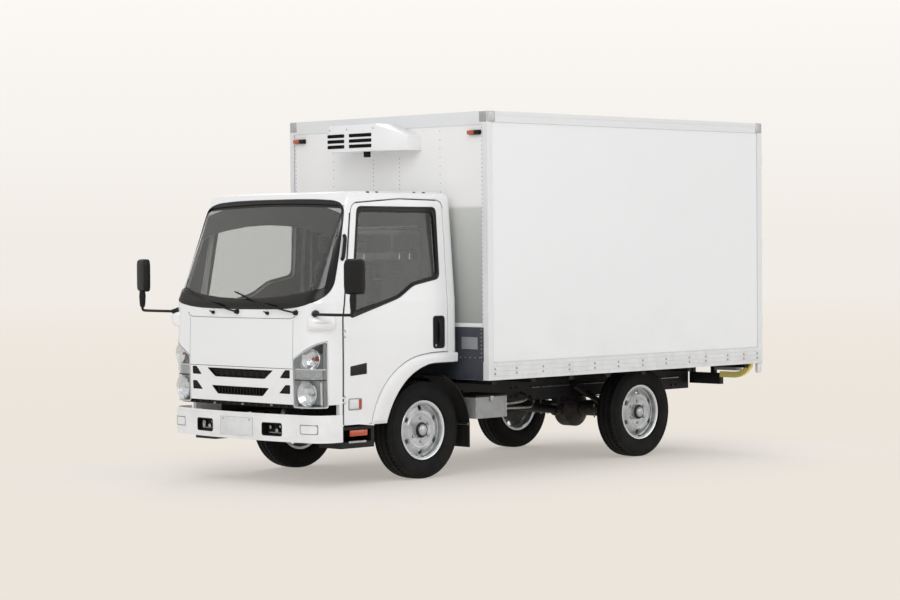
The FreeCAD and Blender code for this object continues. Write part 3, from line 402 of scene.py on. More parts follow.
NODE_FINISH = {
    "enamel": ["cab_shell", "front_panel", "left_door", "right_door", "front_bumper", "refrigeration_unit"],
    "gelcoat": ["box_side_walls", "box_roof", "left_cargo_door", "right_cargo_door", "evaporator"],
    "film": ["box_front_wall"],
    "lacquer": ["box_frame"],
    "aluminium": ["box_floor"],
    "wheel": [a + b + "_rim" for a in ("front_", "rear_") for b in ("left", "right")],
    "tyre": [a + b + "_tyre" for a in ("front_", "rear_") for b in ("left", "right")],
    "plastic": ["cab_steps", "mudguards", "mirrors", "wipers"],
    "chassis": ["ladder_frame", "leaf_springs", "propshaft", "rear_bumper", "exhaust"],
    "iron": ["front_axle", "rear_axle", "engine_block", "front_left_knuckle", "front_right_knuckle", "tie_rod"],
    "glass": ["cab_glass", "left_door_glass", "right_door_glass"],
    "lens": ["cab_lamps"],
    "amber": ["box_lamps"],
    "trim": ["dashboard", "steering_wheel"],
    "cloth": ["seats"],
    "tank": ["battery_box", "fuel_tank"],
}


def finish_nodes():
    """Gives each CAD node that stays in view its finish."""
    for finish, names in NODE_FINISH.items():
        for name in names:
            coat(frame["nodes"][name], finish)


# Stage

CAMERA_AZIMUTH = math.radians(45.33)
CAMERA_ELEVATION = math.radians(1.34)
CAMERA_ROLL = math.radians(-0.452)
CAMERA_DISTANCE = 19.45
CAMERA_TARGET = Vector((0.0, 1.2, 1.2))
CAMERA_SLIDE = (-0.0993, 0.1127)
PHOTO_FOCAL_PIXELS, PHOTO_WIDTH, SENSOR = 2403.3, 900, 36.0


def place_camera():
    """Camera at the photograph's view."""
    a, e = CAMERA_AZIMUTH, CAMERA_ELEVATION
    back = Vector((math.sin(a) * math.cos(e), -math.cos(a) * math.cos(e), math.sin(e)))
    right = Vector((math.cos(a), math.sin(a), 0))
    up = back.cross(right)
    across = right * math.cos(CAMERA_ROLL) + up * math.sin(CAMERA_ROLL)
    upward = up * math.cos(CAMERA_ROLL) - right * math.sin(CAMERA_ROLL)
    spot = CAMERA_TARGET + Vector((0, FRONT_AXLE, 0)) + back * CAMERA_DISTANCE
    spot += right * CAMERA_SLIDE[0] + up * CAMERA_SLIDE[1]
    bpy.ops.object.camera_add()
    camera = bpy.context.active_object
    camera.matrix_world = Matrix.Translation(spot) @ Matrix((across, upward, back)).transposed().to_4x4()
    camera.data.sensor_width = SENSOR
    camera.data.lens = PHOTO_FOCAL_PIXELS * SENSOR / PHOTO_WIDTH
    camera.data.clip_end = 300
    bpy.context.scene.camera = camera


def seen_directly(tree):
    """1 where a camera, glossy or transmission ray looks, and 0 for the light itself."""
    rays = add_node(tree, "ShaderNodeLightPath")
    shown = rays.outputs["Is Camera Ray"]
    for ray in ("Is Glossy Ray", "Is Transmission Ray"):
        shown = add_node(tree, "ShaderNodeMath", {"operation": "MAXIMUM"},
                         {0: shown, 1: rays.outputs[ray]}).outputs["Value"]
    return shown


def floor_finish():
    """Pale floor that keeps the truck's shadow, and takes the backdrop's colour away from its footprint."""
    material = bpy.data.materials.new("painted_studio_floor")
    material.use_nodes = True
    tree = material.node_tree
    tree.nodes.clear()
    place = add_node(tree, "ShaderNodeTexCoord")
    folded = add_node(tree, "ShaderNodeVectorMath", {"operation": "ABSOLUTE"}, {0: place.outputs["Object"]})
    beyond = add_node(tree, "ShaderNodeVectorMath", {"operation": "SUBTRACT", 1: (1.0, 2.3, 0.0)},
                      {0: folded.outputs["Vector"]})
    outside = add_node(tree, "ShaderNodeVectorMath", {"operation": "MAXIMUM", 1: (0.0, 0.0, 0.0)},
                       {0: beyond.outputs["Vector"]})
    far = add_node(tree, "ShaderNodeVectorMath", {"operation": "LENGTH"}, {0: outside.outputs["Vector"]})
    fade = add_node(tree, "ShaderNodeMapRange", {"From Max": 2.4, "To Min": 0.45, "interpolation_type": "SMOOTHSTEP"},
                    {"Value": far.outputs["Value"]})
    depth = add_node(tree, "ShaderNodeMapRange", {"From Min": 2.0, "From Max": 60.0}, {"Value": far.outputs["Value"]})
    tint = add_node(tree, "ShaderNodeMix", {"data_type": "RGBA", 6: linear("#ECE5DB"), 7: linear("#F1ECE6")},
                    {0: depth.outputs["Result"]})
    paint = add_node(tree, "ShaderNodeBsdfDiffuse", {"Color": linear("#F4F0EA")})
    backdrop = add_node(tree, "ShaderNodeEmission", {"Strength": 1.0}, {"Color": tint.outputs[2]})
    amount = add_node(tree, "ShaderNodeMath", {"operation": "MULTIPLY"},
                      {0: seen_directly(tree), 1: fade.outputs["Result"]})
    mixed = add_node(tree, "ShaderNodeMixShader", None,
                     {0: amount.outputs["Value"], 1: paint.outputs["BSDF"], 2: backdrop.outputs["Emission"]})
    add_node(tree, "ShaderNodeOutputMaterial", None, {"Surface": mixed.outputs["Shader"]})
    return material


def light_world():
    """Even studio light, and a pale gradient where the backdrop shows."""
    world = bpy.data.worlds.new("studio")
    bpy.context.scene.world = world
    world.use_nodes = True
    tree = world.node_tree
    tree.nodes.clear()
    place = add_node(tree, "ShaderNodeTexCoord")
    parts = add_node(tree, "ShaderNodeSeparateXYZ", None, {0: place.outputs["Generated"]})
    height = add_node(tree, "ShaderNodeMapRange", {"From Min": 0.0, "From Max": 0.11}, {"Value": parts.outputs["Z"]})
    tint = add_node(tree, "ShaderNodeMix", {"data_type": "RGBA", 6: linear("#F1ECE6"), 7: linear("#FDFAF6")},
                    {0: height.outputs["Result"]})
    light = add_node(tree, "ShaderNodeBackground", {"Color": linear("#F2F4F8"), "Strength": 0.72})
    backdrop = add_node(tree, "ShaderNodeBackground", {"Strength": 1.0}, {"Color": tint.outputs[2]})
    mixed = add_node(tree, "ShaderNodeMixShader", None,
                     {0: seen_directly(tree), 1: light.outputs[0], 2: backdrop.outputs[0]})
    add_node(tree, "ShaderNodeOutputWorld", None, {"Surface": mixed.outputs["Shader"]})


def area_light(name, spot, aim, size, power):
    bpy.ops.object.light_add(type="AREA", location=spot)
    lamp = bpy.context.active_object
    lamp.name = name
    lamp.data.size = size
    lamp.data.energy = power
    lamp.rotation_euler = (Vector(aim) - Vector(spot)).to_track_quat("-Z", "Y").to_euler()


# Modelling helpers, all through the operators

def clear_selection():
    if bpy.context.mode != "OBJECT":
        bpy.ops.object.mode_set(mode="OBJECT")
    bpy.ops.object.select_all(action="DESELECT")


def select(piece):
    clear_selection()
    piece.select_set(True)
    bpy.context.view_layer.objects.active = piece


def named(name):
    piece = bpy.context.active_object
    piece.name = name
    piece.data.name = name
    return piece


def edit(piece, kind="FACE"):
    """Opens a piece in edit mode with nothing selected."""
    select(piece)
    bpy.ops.object.mode_set(mode="EDIT")
    bpy.ops.mesh.select_mode(type=kind)
    bpy.ops.mesh.select_all(action="DESELECT")


def pick(piece, test, kind="FACE"):
    """Selects the faces or edges that pass a test, in edit mode."""
    edit(piece, kind)
    mesh = bmesh.from_edit_mesh(piece.data)
    for item in (mesh.faces if kind == "FACE" else mesh.edges):
        item.select_set(test(item))
    mesh.select_flush_mode()
    bmesh.update_edit_mesh(piece.data)


def whole():
    bpy.ops.mesh.select_all(action="SELECT")


def done():
    bpy.ops.object.mode_set(mode="OBJECT")


def done_outwards():
    """Turns all the faces outwards and leaves edit mode."""
    whole()
    bpy.ops.mesh.normals_make_consistent(inside=False)
    done()


def cap(piece, test):
    """Fills the open edges that pass a test."""
    pick(piece, lambda e: len(e.link_faces) == 1 and test(e), "EDGE")
    bpy.ops.mesh.edge_face_add()
    done_outwards()


def modify(piece, kind, **settings):
    """Applies a modifier to a piece."""
    select(piece)
    bpy.ops.object.modifier_add(type=kind)
    modifier = piece.modifiers[-1]
    for key, value in settings.items():
        setattr(modifier, key, value)
    bpy.ops.object.modifier_apply(modifier=modifier.name)
    return piece


def soften(piece, width, steps=2, test=None):
    """Bevels the sharp edges of a piece, or those that pass a test."""
    pick(piece, test or (lambda e: len(e.link_faces) == 2 and e.calc_face_angle(0) > 0.5), "EDGE")
    bpy.ops.mesh.bevel(offset=width, segments=steps, affect="EDGES", clamp_overlap=True)
    done()
    return piece


def block(name, low, high, width=0.0, steps=2):
    """Cube stretched between two corners, with softened edges."""
    clear_selection()
    low, high = Vector(low), Vector(high)
    bpy.ops.mesh.primitive_cube_add(size=1, location=(low + high) / 2)
    piece = named(name)
    piece.scale = high - low
    bpy.ops.object.transform_apply(location=True, rotation=True, scale=True)
    return soften(piece, width, steps) if width else piece


def drum(name, start, end, radius, sides=32, width=0.0, tip=None):
    """Cylinder or cone between two points."""
    clear_selection()
    start, end = Vector(start), Vector(end)
    turn = (end - start).to_track_quat("Z", "Y")
    bpy.ops.mesh.primitive_cone_add(vertices=sides, radius1=radius, radius2=radius if tip is None else tip,
                                    depth=(end - start).length, location=(start + end) / 2,
                                    rotation=turn.to_euler())
    piece = named(name)
    bpy.ops.object.transform_apply(location=True, rotation=True, scale=True)
    if width:
        soften(piece, width, 2, lambda e: any(len(f.verts) == sides for f in e.link_faces))
    return piece


def plate(name, outline, depth):
    """Disc primitive set to an outline, and thickened along depth."""
    clear_selection()
    bpy.ops.mesh.primitive_circle_add(vertices=len(outline), fill_type="NGON")
    piece = named(name)
    for vertex, point in zip(piece.data.vertices, outline):
        vertex.co = Vector(point)
    edit(piece)
    whole()
    bpy.ops.mesh.extrude_region_move(TRANSFORM_OT_translate={"value": Vector(depth)})
    done_outwards()
    return piece


def lathe(name, profile, centre, steps=72, axis=X):
    """Profile of (along, radius) points spun about a line, closed at both ends."""
    clear_selection()
    bpy.ops.mesh.primitive_circle_add(vertices=len(profile), fill_type="NOTHING")
    piece = named(name)
    centre, axis = Vector(centre), Vector(axis).normalized()
    out = Z if abs(axis.z) < 0.5 else Y
    for vertex, (along, radius) in zip(piece.data.vertices, profile):
        vertex.co = centre + axis * along + out * radius
    edit(piece)
    whole()
    bpy.ops.mesh.spin(steps=steps, angle=math.tau, center=centre, axis=axis)
    whole()
    bpy.ops.mesh.remove_doubles(threshold=WELD)
    bpy.ops.mesh.dissolve_degenerate(threshold=WELD / 2)
    done_outwards()
    return piece


def hose(name, points, radius, sides=4, smooth=True):
    """Bent tube through points."""
    clear_selection()
    bpy.ops.curve.primitive_nurbs_path_add()
    piece = named(name)
    curve = piece.data
    curve.splines.clear()
    spline = curve.splines.new("NURBS" if smooth else "POLY")
    spline.points.add(len(points) - 1)
    for target, point in zip(spline.points, points):
        target.co = (*point, 1.0)
    if smooth:
        spline.order_u = 3
        spline.use_endpoint_u = True
        spline.resolution_u = 6
    curve.bevel_depth = radius
    curve.bevel_resolution = sides
    curve.use_fill_caps = True
    bpy.ops.object.convert(target="MESH")
    return named(name)


def merge(name, pieces):
    """Joins pieces into one."""
    clear_selection()
    for piece in pieces:
        piece.select_set(True)
    bpy.context.view_layer.objects.active = pieces[0]
    bpy.ops.object.join()
    return named(name)


def copy_at(piece, matrix=Matrix()):
    """Copy with its own mesh, moved by a matrix."""
    clear_selection()
    twin = piece.copy()
    twin.data = piece.data.copy()
    bpy.context.scene.collection.objects.link(twin)
    twin.data.transform(matrix)
    return twin


def other_side(piece, name=None, both=True):
    """Mirror image across the truck, joined to the piece or on its own."""
    twin = copy_at(piece)
    twin.name = name or piece.name + "_right"
    edit(twin)
    whole()
    bpy.ops.transform.resize(value=(-1, 1, 1), center_override=(0, 0, 0))
    bpy.ops.mesh.flip_normals()
    done()
    return merge(piece.name, [piece, twin]) if both else twin


def coat(piece, paint):
    """Gives a piece, or a part of one before it is joined, its finish."""
    piece.data.materials.clear()
    piece.data.materials.append(FINISHES[paint])
    return piece


def slab(name, low, high, width, steps, paint):
    """Coated block."""
    return coat(block(name, low, high, width, steps), paint)


def finish(piece, body, paint, slot, replaces=(), angle=35):
    """Moves a piece from the axle's frame to its place, smooths it, and gives it its finish and body."""
    piece.data.transform(Matrix.Translation((0, FRONT_AXLE, 0)))
    if not piece.data.materials:
        coat(piece, paint)
    select(piece)
    bpy.ops.object.shade_smooth_by_angle(angle=math.radians(angle))
    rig.ride(piece, body)
    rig.slot(piece, slot)
    if replaces:
        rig.replaces(piece, *replaces)
    return piece


# Sections of the cab's surface, as in the frame: height, half width, nose's depth, corner radius, and how far the
# nose bows forwards in the middle

SECTIONS = [
    (0.450, 0.8415, -1.132, 0.160, 0.012), (0.900, 0.8475, -1.142, 0.160, 0.012),
    (1.240, 0.8475, -1.134, 0.160, 0.014), (1.345, 0.8465, -1.130, 0.150, 0.014),
    (2.115, 0.790, -0.772, 0.025, 0.012), (2.145, 0.772, -0.742, 0.045, 0.012),
    (2.160, 0.715, -0.662, 0.070, 0.010),
]


def cab_skin(across, height, outward=0.0):
    """Point on the cab's nose or its front corner: across runs from -1 to 1 over the nose between the
    corners, and beyond that by the angle round the corner in radians."""
    pair = [(low, high) for low, high in zip(SECTIONS, SECTIONS[1:]) if low[0] <= height <= high[0]][0]
    points = []
    for _, half, nose, corner, bow in pair:
        half, nose, corner = half + outward, nose - outward, corner + outward
        edge = half - corner
        if abs(across) <= 1:
            radius = (edge * edge + bow * bow) / (2 * bow)
            turn = math.asin(edge / radius) * across
            points.append((math.sin(turn) * radius, nose + radius * (1 - math.cos(turn))))
        else:
            turn = abs(across) - 1
            side = math.copysign(edge + corner * math.sin(turn), across)
            points.append((side, nose + bow + corner * (1 - math.cos(turn))))
    mix = (height - pair[0][0]) / (pair[1][0] - pair[0][0])
    return Vector((points[0][0] * (1 - mix) + points[1][0] * mix, points[0][1] * (1 - mix) + points[1][1] * mix,
                   height))


def side_half(height):
    """Half width of the cab at a height."""
    low, high = [(a, b) for a, b in zip(SECTIONS, SECTIONS[1:]) if a[0] <= height <= b[0]][0]
    mix = (height - low[0]) / (high[0] - low[0])
    return low[1] * (1 - mix) + high[1] * mix


def wrap(around, height, outward=0.0):
    """Point on the cab's skin: around is the way along it from the middle of the nose, round the corner
    and on along the side."""
    low, high = [(a, b) for a, b in zip(SECTIONS, SECTIONS[1:]) if a[0] <= height <= b[0]][0]
    mix = (height - low[0]) / (high[0] - low[0])
    edge = (low[1] - low[3]) * (1 - mix) + (high[1] - high[3]) * mix
    corner = low[3] * (1 - mix) + high[3] * mix
    sign, way = math.copysign(1, around), abs(around)
    if way <= edge:
        return cab_skin(around / edge, height, outward)
    turn = (way - edge) / corner
    if turn < math.pi / 2:
        return cab_skin(sign * (1 + turn), height, outward)
    point = cab_skin(sign * (1 + math.pi / 2), height, outward)
    return point + Y * (way - edge - corner * math.pi / 2)


def around_at(depth, height):
    """Way round the left corner at which the skin reaches a depth along Y."""
    low, high = 0.3, 2.6
    for _ in range(26):
        middle = (low + high) / 2
        low, high = (middle, high) if wrap(middle, height).y < depth else (low, middle)
    return low


def inset(points, gap):
    """Outline of corner points, anticlockwise, moved inwards by a gap."""
    moved = []
    for index, here in enumerate(points):
        before, after = Vector(points[index - 1]), Vector(points[(index + 1) % len(points)])
        here = Vector(here)
        first, second = (here - before).normalized(), (after - here).normalized()
        first, second = Vector((-first.y, first.x)), Vector((-second.y, second.x))
        middle = first + second
        moved.append(here + middle * (gap / max(0.3, middle.dot(first))))
    return moved


def rounded(points, radius, steps=5, runs=3):
    """Outline with its corners rounded and its straight edges split into runs."""
    points = [Vector(p) for p in points]
    loop, ends = [], []
    for index, here in enumerate(points):
        before, after = points[index - 1], points[(index + 1) % len(points)]
        reach = min(radius, (here - before).length * 0.46, (after - here).length * 0.46)
        start, end = here + (before - here).normalized() * reach, here + (after - here).normalized() * reach
        ends.append([start * (1 - t) ** 2 + here * 2 * t * (1 - t) + end * t * t
                     for t in (step / steps for step in range(steps + 1))])
    for index, curve in enumerate(ends):
        following = ends[(index + 1) % len(ends)][0]
        loop += curve + [curve[-1].lerp(following, run / runs) for run in range(1, runs)]
    return loop


def sheet(name, rows, out, thickness=0.0):
    """Grid primitive set to rows of points. Its front looks towards out, and the thickness goes behind it."""
    clear_selection()
    bpy.ops.mesh.primitive_grid_add(x_subdivisions=len(rows[0]) - 1, y_subdivisions=len(rows) - 1)
    piece = named(name)
    points = [point for row in rows for point in row]
    assert len(points) == len(piece.data.vertices), (name, len(points), len(piece.data.vertices))
    for vertex, point in zip(piece.data.vertices, points):
        vertex.co = point
    edit(piece)
    whole()
    bpy.ops.mesh.remove_doubles(threshold=WELD)
    done_outwards()
    front = sum((face.normal * face.area for face in piece.data.polygons), Vector((0, 0, 0)))
    if front.dot(Vector(out)) < 0:
        edit(piece)
        whole()
        bpy.ops.mesh.flip_normals()
        done()
    return thicken(piece, thickness) if thickness else piece


def thicken(piece, thickness):
    return modify(piece, "SOLIDIFY", thickness=thickness, offset=-1)


def band(name, loops, out, fill=False):
    """Strip through closed loops of points, whose last loop is filled if asked. Its face looks towards out."""
    piece = sheet(name, [loop + loop[:1] for loop in loops], out)
    if fill:
        cap(piece, lambda e: min((e.verts[0].co - Vector(p)).length for p in loops[-1]) < 0.0001)
    return piece


def on_skin(outline, outward):
    """Outline of (around, height) laid on the cab's skin."""
    return [wrap(u, z, outward) for u, z in outline]


def on_side(sign):
    """Places points of (depth, height) on the cab's left side, 1, or right side, -1."""
    return lambda y, z, out: Vector((sign * (side_half(z) + out), y, z))


def on_rear(x, z, out):
    """Point on the cab's rear wall, which leans forwards above the belt."""
    lean = max(0, (z - SECTIONS[3][0]) / (SECTIONS[4][0] - SECTIONS[3][0]))
    return Vector((x, 0.303 - 0.006 * lean + out - 0.006, z))


def rings(outline, levels, radius, steps=5, runs=3, place=wrap):
    """Loops of an outline with rounded corners at levels of (inset, outward), each point laid by place."""
    return [[place(a, b, out) for a, b in rounded(inset(outline, gap), radius, steps, runs)] for gap, out in levels]


def box_corners(low_a, low_b, high_a, high_b):
    """Outline of an upright rectangle, anticlockwise."""
    return [(low_a, low_b), (high_a, low_b), (high_a, high_b), (low_a, high_b)]


def patch(name, edges, heights, columns, outward, thickness=0.0):
    """Piece of the cab's skin between two edges, given as ways round it at each height."""
    rows = []
    for height in heights:
        start, end = edges(height)
        rows.append([wrap(start + (end - start) * column / columns, height, outward) for column in range(columns + 1)])
    return sheet(name, rows, -Y, thickness)


def spread(low, high, count):
    return [low + (high - low) * index / count for index in range(count + 1)]


# Glazing: outlines of the black border, of the door windows and of what lines the door. The windscreen's are
# (way round the skin, height), the others (depth, height). PANE_SINK is how far the panes stand behind the skin.

SCREEN = [(0.0, 1.300), (0.25, 1.302), (0.45, 1.305), (0.60, 1.316), (0.72, 1.337), (0.81, 1.370), (0.868, 1.415),
          (0.893, 1.480), (0.874, 1.600), (0.849, 1.730), (0.823, 1.850), (0.800, 1.960), (0.783, 2.025),
          (0.742, 2.066), (0.66, 2.088), (0.46, 2.100), (0.23, 2.104), (0.0, 2.104)]
WINDOW = [(-0.782, 1.262), (-0.43, 1.345), (-0.3, 1.38), (-0.15, 1.47), (0.103, 1.518), (0.096, 2.015),
          (-0.668, 2.022)]
WINDOW_EDGE = [(-0.800, 1.230), (-0.43, 1.334), (-0.3, 1.371), (-0.15, 1.461), (0.122, 1.508), (0.126, 2.043),
               (-0.676, 2.047)]
DOOR_LINING = [(-0.84, 0.98), (-0.43, 0.98), (-0.3, 0.98), (-0.15, 0.98), (0.172, 0.98), (0.160, 2.062),
               (-0.705, 2.068)]
PANE_SINK = -0.0076
REAR_WINDOW = box_corners(-0.48, 1.5, 0.48, 1.9)


def screen_side(height):
    """Way round the skin at which the windscreen's opening ends."""
    return around_at(-1.078 + (height - 1.2) * 0.318 / 0.91, height)


def screen_opening(gap):
    """Points of the windscreen's opening that face those of SCREEN, a gap inside its edge."""
    points = []
    for u, z in SCREEN:
        for _ in range(2):
            z = min(max(z, 1.348 + 0.1 * (u / 0.9) ** 2 + gap), 2.080 - 0.034 * (u / 0.9) ** 2 - gap)
            u = min(u, screen_side(z) - gap)
        points.append((u, z))
    return points


def both_halves(points):
    """Whole outline, anticlockwise, from its right half, which runs from the bottom to the top."""
    return points + [(-u, z) for u, z in points[-2:0:-1]]


def stripe(name, path, width, outward=0.0006, thickness=0.001):
    """Narrow strip along a path of (around, height) on the cab's skin."""
    path = [Vector(p) for p in path]
    rows = [[], []]
    for index, here in enumerate(path):
        along = (path[min(index + 1, len(path) - 1)] - path[max(index - 1, 0)]).normalized()
        for row, side in zip(rows, (-0.5, 0.5)):
            u, z = here + Vector((-along.y, along.x)) * width * side
            row.append(wrap(u, z, outward))
    return sheet(name, rows, -Y, thickness)


class TRUCK_OT_glazing(bpy.types.Operator):
    """Seals and black borders of the windscreen, the door windows and the rear window, and painted shade inside the
    windscreen's top
    """
    bl_idname = "truck.glazing"
    bl_label = "Glazing"

    def execute(self, context):
        edge = both_halves(SCREEN)
        loops = rings(edge, ((-0.005, 0.0004), (-0.001, 0.0034), (0.009, 0.003)), 0.05, 3, 3)
        start, end = rounded(inset(edge, 0.011), 0.05, 3, 3), rounded(both_halves(screen_opening(0.0)), 0.02, 3, 3)
        loops += [on_skin([a.lerp(b, mix) for a, b in zip(start, end)], 0.0022) for mix in spread(0, 0.95, 6)]
        loops += [on_skin(rounded(both_halves(screen_opening(gap)), 0.02, 3, 3), out)
                  for gap, out in ((0.003, 0.0012), (0.005, PANE_SINK), (0.024, PANE_SINK), (0.025, -0.0085))]
        border = coat(band("windscreen_border", loops, -Y), "glaze")
        below = []
        # A black sheet just inside the windscreen, from the top border down to an arc, is painted shade of the cab's
        # dark inside.
        for u, z in screen_opening(0.0):
            z = min(max(z, 1.352 + 0.1 * (u / 0.9) ** 2), 1.916 - 0.17 * u * u)
            below.append((min(u, screen_side(z) - 0.052), z))
        shade = [on_skin(rounded(points, 0.03, 3, 3), -0.0152)
                 for points in (both_halves(screen_opening(-0.014)), both_halves(below))]
        shade = coat(thicken(band("shade_band", shade, -Y), 0.0008), "glaze")
        finish(merge("windscreen_border", [border, shade]), "cab", "glaze", "black_plastic")
        for side, sign in SIDES:
            loops = rings(WINDOW_EDGE, ((-0.003, 0.0005), (0.0, 0.004), (0.010, 0.0035), (0.013, 0.0012)), 0.045,
                          place=on_side(sign))
            loops += rings(WINDOW, ((0.003, 0.0012), (0.005, PANE_SINK), (0.016, PANE_SINK), (0.017, -0.0085)), 0.045,
                           place=on_side(sign))
            finish(band(side + "_window_seal", loops, X * sign), side + "_door", "glaze", "black_plastic")
        loops = rings(REAR_WINDOW, ((-0.012, -0.0005), (-0.008, 0.003), (0.006, 0.003), (0.010, PANE_SINK),
                                    (0.024, PANE_SINK)), 0.05, place=on_rear)
        finish(band("rear_window_seal", loops, Y), "cab", "rubber", "black_plastic")
        return {"FINISHED"}


LINING_SINK, LINING = -0.0375, 0.003


class TRUCK_OT_lining(bpy.types.Operator):
    """Dark lining on the inside of the cab's walls, roof, pillars and doors, and the floor mats"""
    bl_idname = "truck.lining"
    bl_label = "Lining"

    def execute(self, context):
        parts = []
        outer = [(-0.795, 0.955), (0.795, 0.955), (0.742, 2.112), (-0.742, 2.112)]
        loops = [[Vector((x, 0.259, z)) for x, z in rounded(outline, 0.04, 3, 3)]
                 for outline in (outer, inset(REAR_WINDOW, -0.006))]
        parts.append(thicken(band("rear_lining", loops, -Y), LINING))
        rows = [[Vector((x, y, 2.1205)) for x in spread(-0.745, 0.745, 6)] for y in (0.255, -0.2, -0.62, -0.705)]
        parts.append(sheet("roof_lining", rows, -Z, LINING))
        for name, edges, heights in (
                ("front_pillar", lambda h: (screen_side(h) + 0.008, around_at(door_edge(h) - 0.012, h)),
                 spread(1.36, 2.10, 12)),
                ("rear_pillar", lambda h: (around_at(0.200, h), around_at(0.258, h)), spread(0.955, 2.06, 8))):
            parts.append(other_side(patch(name, edges, heights, 3, LINING_SINK, LINING)))
        header = patch("header", lambda h: (-0.72, 0.72), (2.084, 2.100, 2.1125), 24, LINING_SINK, LINING)
        parts.append(header)
        parts.append(block("platform_mat", (-0.80, -0.462, 0.9503), (0.80, 0.258, 0.9530), 0.001, 1))
        parts.append(block("footwell_mat", (-0.70, -0.955, 0.7303), (0.70, -0.475, 0.7350), 0.001, 1))
        finish(merge("cab_lining", [coat(piece, "felt") for piece in parts]), "cab", "felt", "grey_trim")
        for side, sign in SIDES:
            loops = [[Vector((sign * (side_half(z) + LINING_SINK), y, z)) for y, z in rounded(outline, 0.03, 3, 3)]
                     for outline in (DOOR_LINING, inset([Vector(p) for p in WINDOW], -0.006))]
            lining = thicken(band(side + "_door_lining", loops, X * -sign), LINING)
            finish(lining, side + "_door", "felt", "grey_trim")
        return {"FINISHED"}


def door_edge(height):
    """Depth of the door's front edge at a height."""
    return -0.865 + 0.120 * min(1.0, max(0.0, (height - 1.236) / 0.764))


# Lamps of the cab

LAMP_NEAR, LAMP_FAR, LAMP_STEP = 0.592, 0.893, 0.938
LAMP_TOP, LAMP_OUTER, LAMP_FOOT = 1.056, 1.074, 0.588
LAMP = [(LAMP_NEAR, LAMP_FOOT), (0.892, LAMP_FOOT), (0.894, LAMP_OUTER), (0.812, LAMP_TOP), (LAMP_NEAR, LAMP_STEP)]


def lamp_edges(height):
    """Inner and outer edge of the headlamp at a height."""
    if height <= LAMP_STEP:
        return LAMP_NEAR, LAMP_FAR
    mix = (height - LAMP_STEP) / (LAMP_OUTER - LAMP_STEP)
    return LAMP_NEAR + (LAMP_FAR - LAMP_NEAR) * mix * 0.97, LAMP_FAR


def facing(around, height):
    """Direction out of the skin."""
    across = wrap(around + 0.01, height) - wrap(around - 0.01, height)
    rising = wrap(around, height + 0.01) - wrap(around, height - 0.01)
    return across.cross(rising).normalized()


class TRUCK_OT_headlamps(bpy.types.Operator):
    """Headlamps: grey shell, two reflectors with bulbs, trim bands and a clear lens"""
    bl_idname = "truck.headlamps"
    bl_label = "Headlamps"

    def execute(self, context):
        loops = rings(LAMP, ((0.0, 0.001), (0.003, 0.003), (0.007, 0.002), (0.009, -0.010), (0.016, -0.030),
                             (0.020, -0.060)), 0.02, 4, 4)
        shell = coat(band("headlamp_shell", loops, -Y, fill=True), "silver")
        parts = [shell]
        for around, height, radius, depth, sides in ((0.762, 0.944, 0.078, 0.050, 40),
                                                     (0.718, 0.691, 0.092, 0.056, 14)):
            outward = (facing(around, height) + Vector((0, -1.2, 0))).normalized()
            centre = wrap(around, height, -0.016)
            outline = [(-depth, 0.012), (-depth * 0.96, 0.020), (-depth * 0.78, radius * 0.55),
                       (-depth * 0.45, radius * 0.80), (0, radius * 0.97), (0.002, radius), (-0.004, radius * 1.02),
                       (-depth * 0.5, radius * 0.86), (-depth * 1.02, 0.012)]
            parts.append(coat(lathe("reflector", outline, centre, sides, outward), "chrome"))
            bulb = [(-depth, 0.0), (-depth, 0.011), (-depth * 0.6, 0.012), (-depth * 0.45, 0.009), (-depth * 0.38, 0.0)]
            parts.append(coat(lathe("bulb", bulb, centre, 20, outward), "amber" if height > 0.8 else "lens"))
        for name, edges, heights, depth, paint in (
                ("lamp_band", (0.600, 0.884), (0.863, 0.873), -0.010, "chrome"),
                ("lamp_divider", (0.600, 0.884), (0.787, 0.794), -0.008, "rubber"),
                ("lamp_reflex", (0.604, 0.858), (0.796, 0.862), -0.016, "reflex"),
                ("lamp_upright", (0.862, 0.884), (0.602, 1.052), -0.012, "smoke"),
                ("lamp_gleam", (0.834, 0.850), (0.610, 0.770), -0.014, "chrome")):
            parts.append(coat(patch(name, lambda h: edges, spread(*heights, 8), 16, depth, 0.004), paint))
        inside = merge("headlamp_inside", parts)
        finish(other_side(inside), "cab", "silver", "lamp_lens", ("cab_lamps",), 25)
        lens = patch("headlamp_lens", lamp_edges, spread(LAMP_FOOT + 0.005, LAMP_OUTER - 0.006, 24), 20, 0.0005, 0.003)
        finish(other_side(lens), "cab", "lens", "lamp_lens")
        return {"FINISHED"}


# Front of the cab

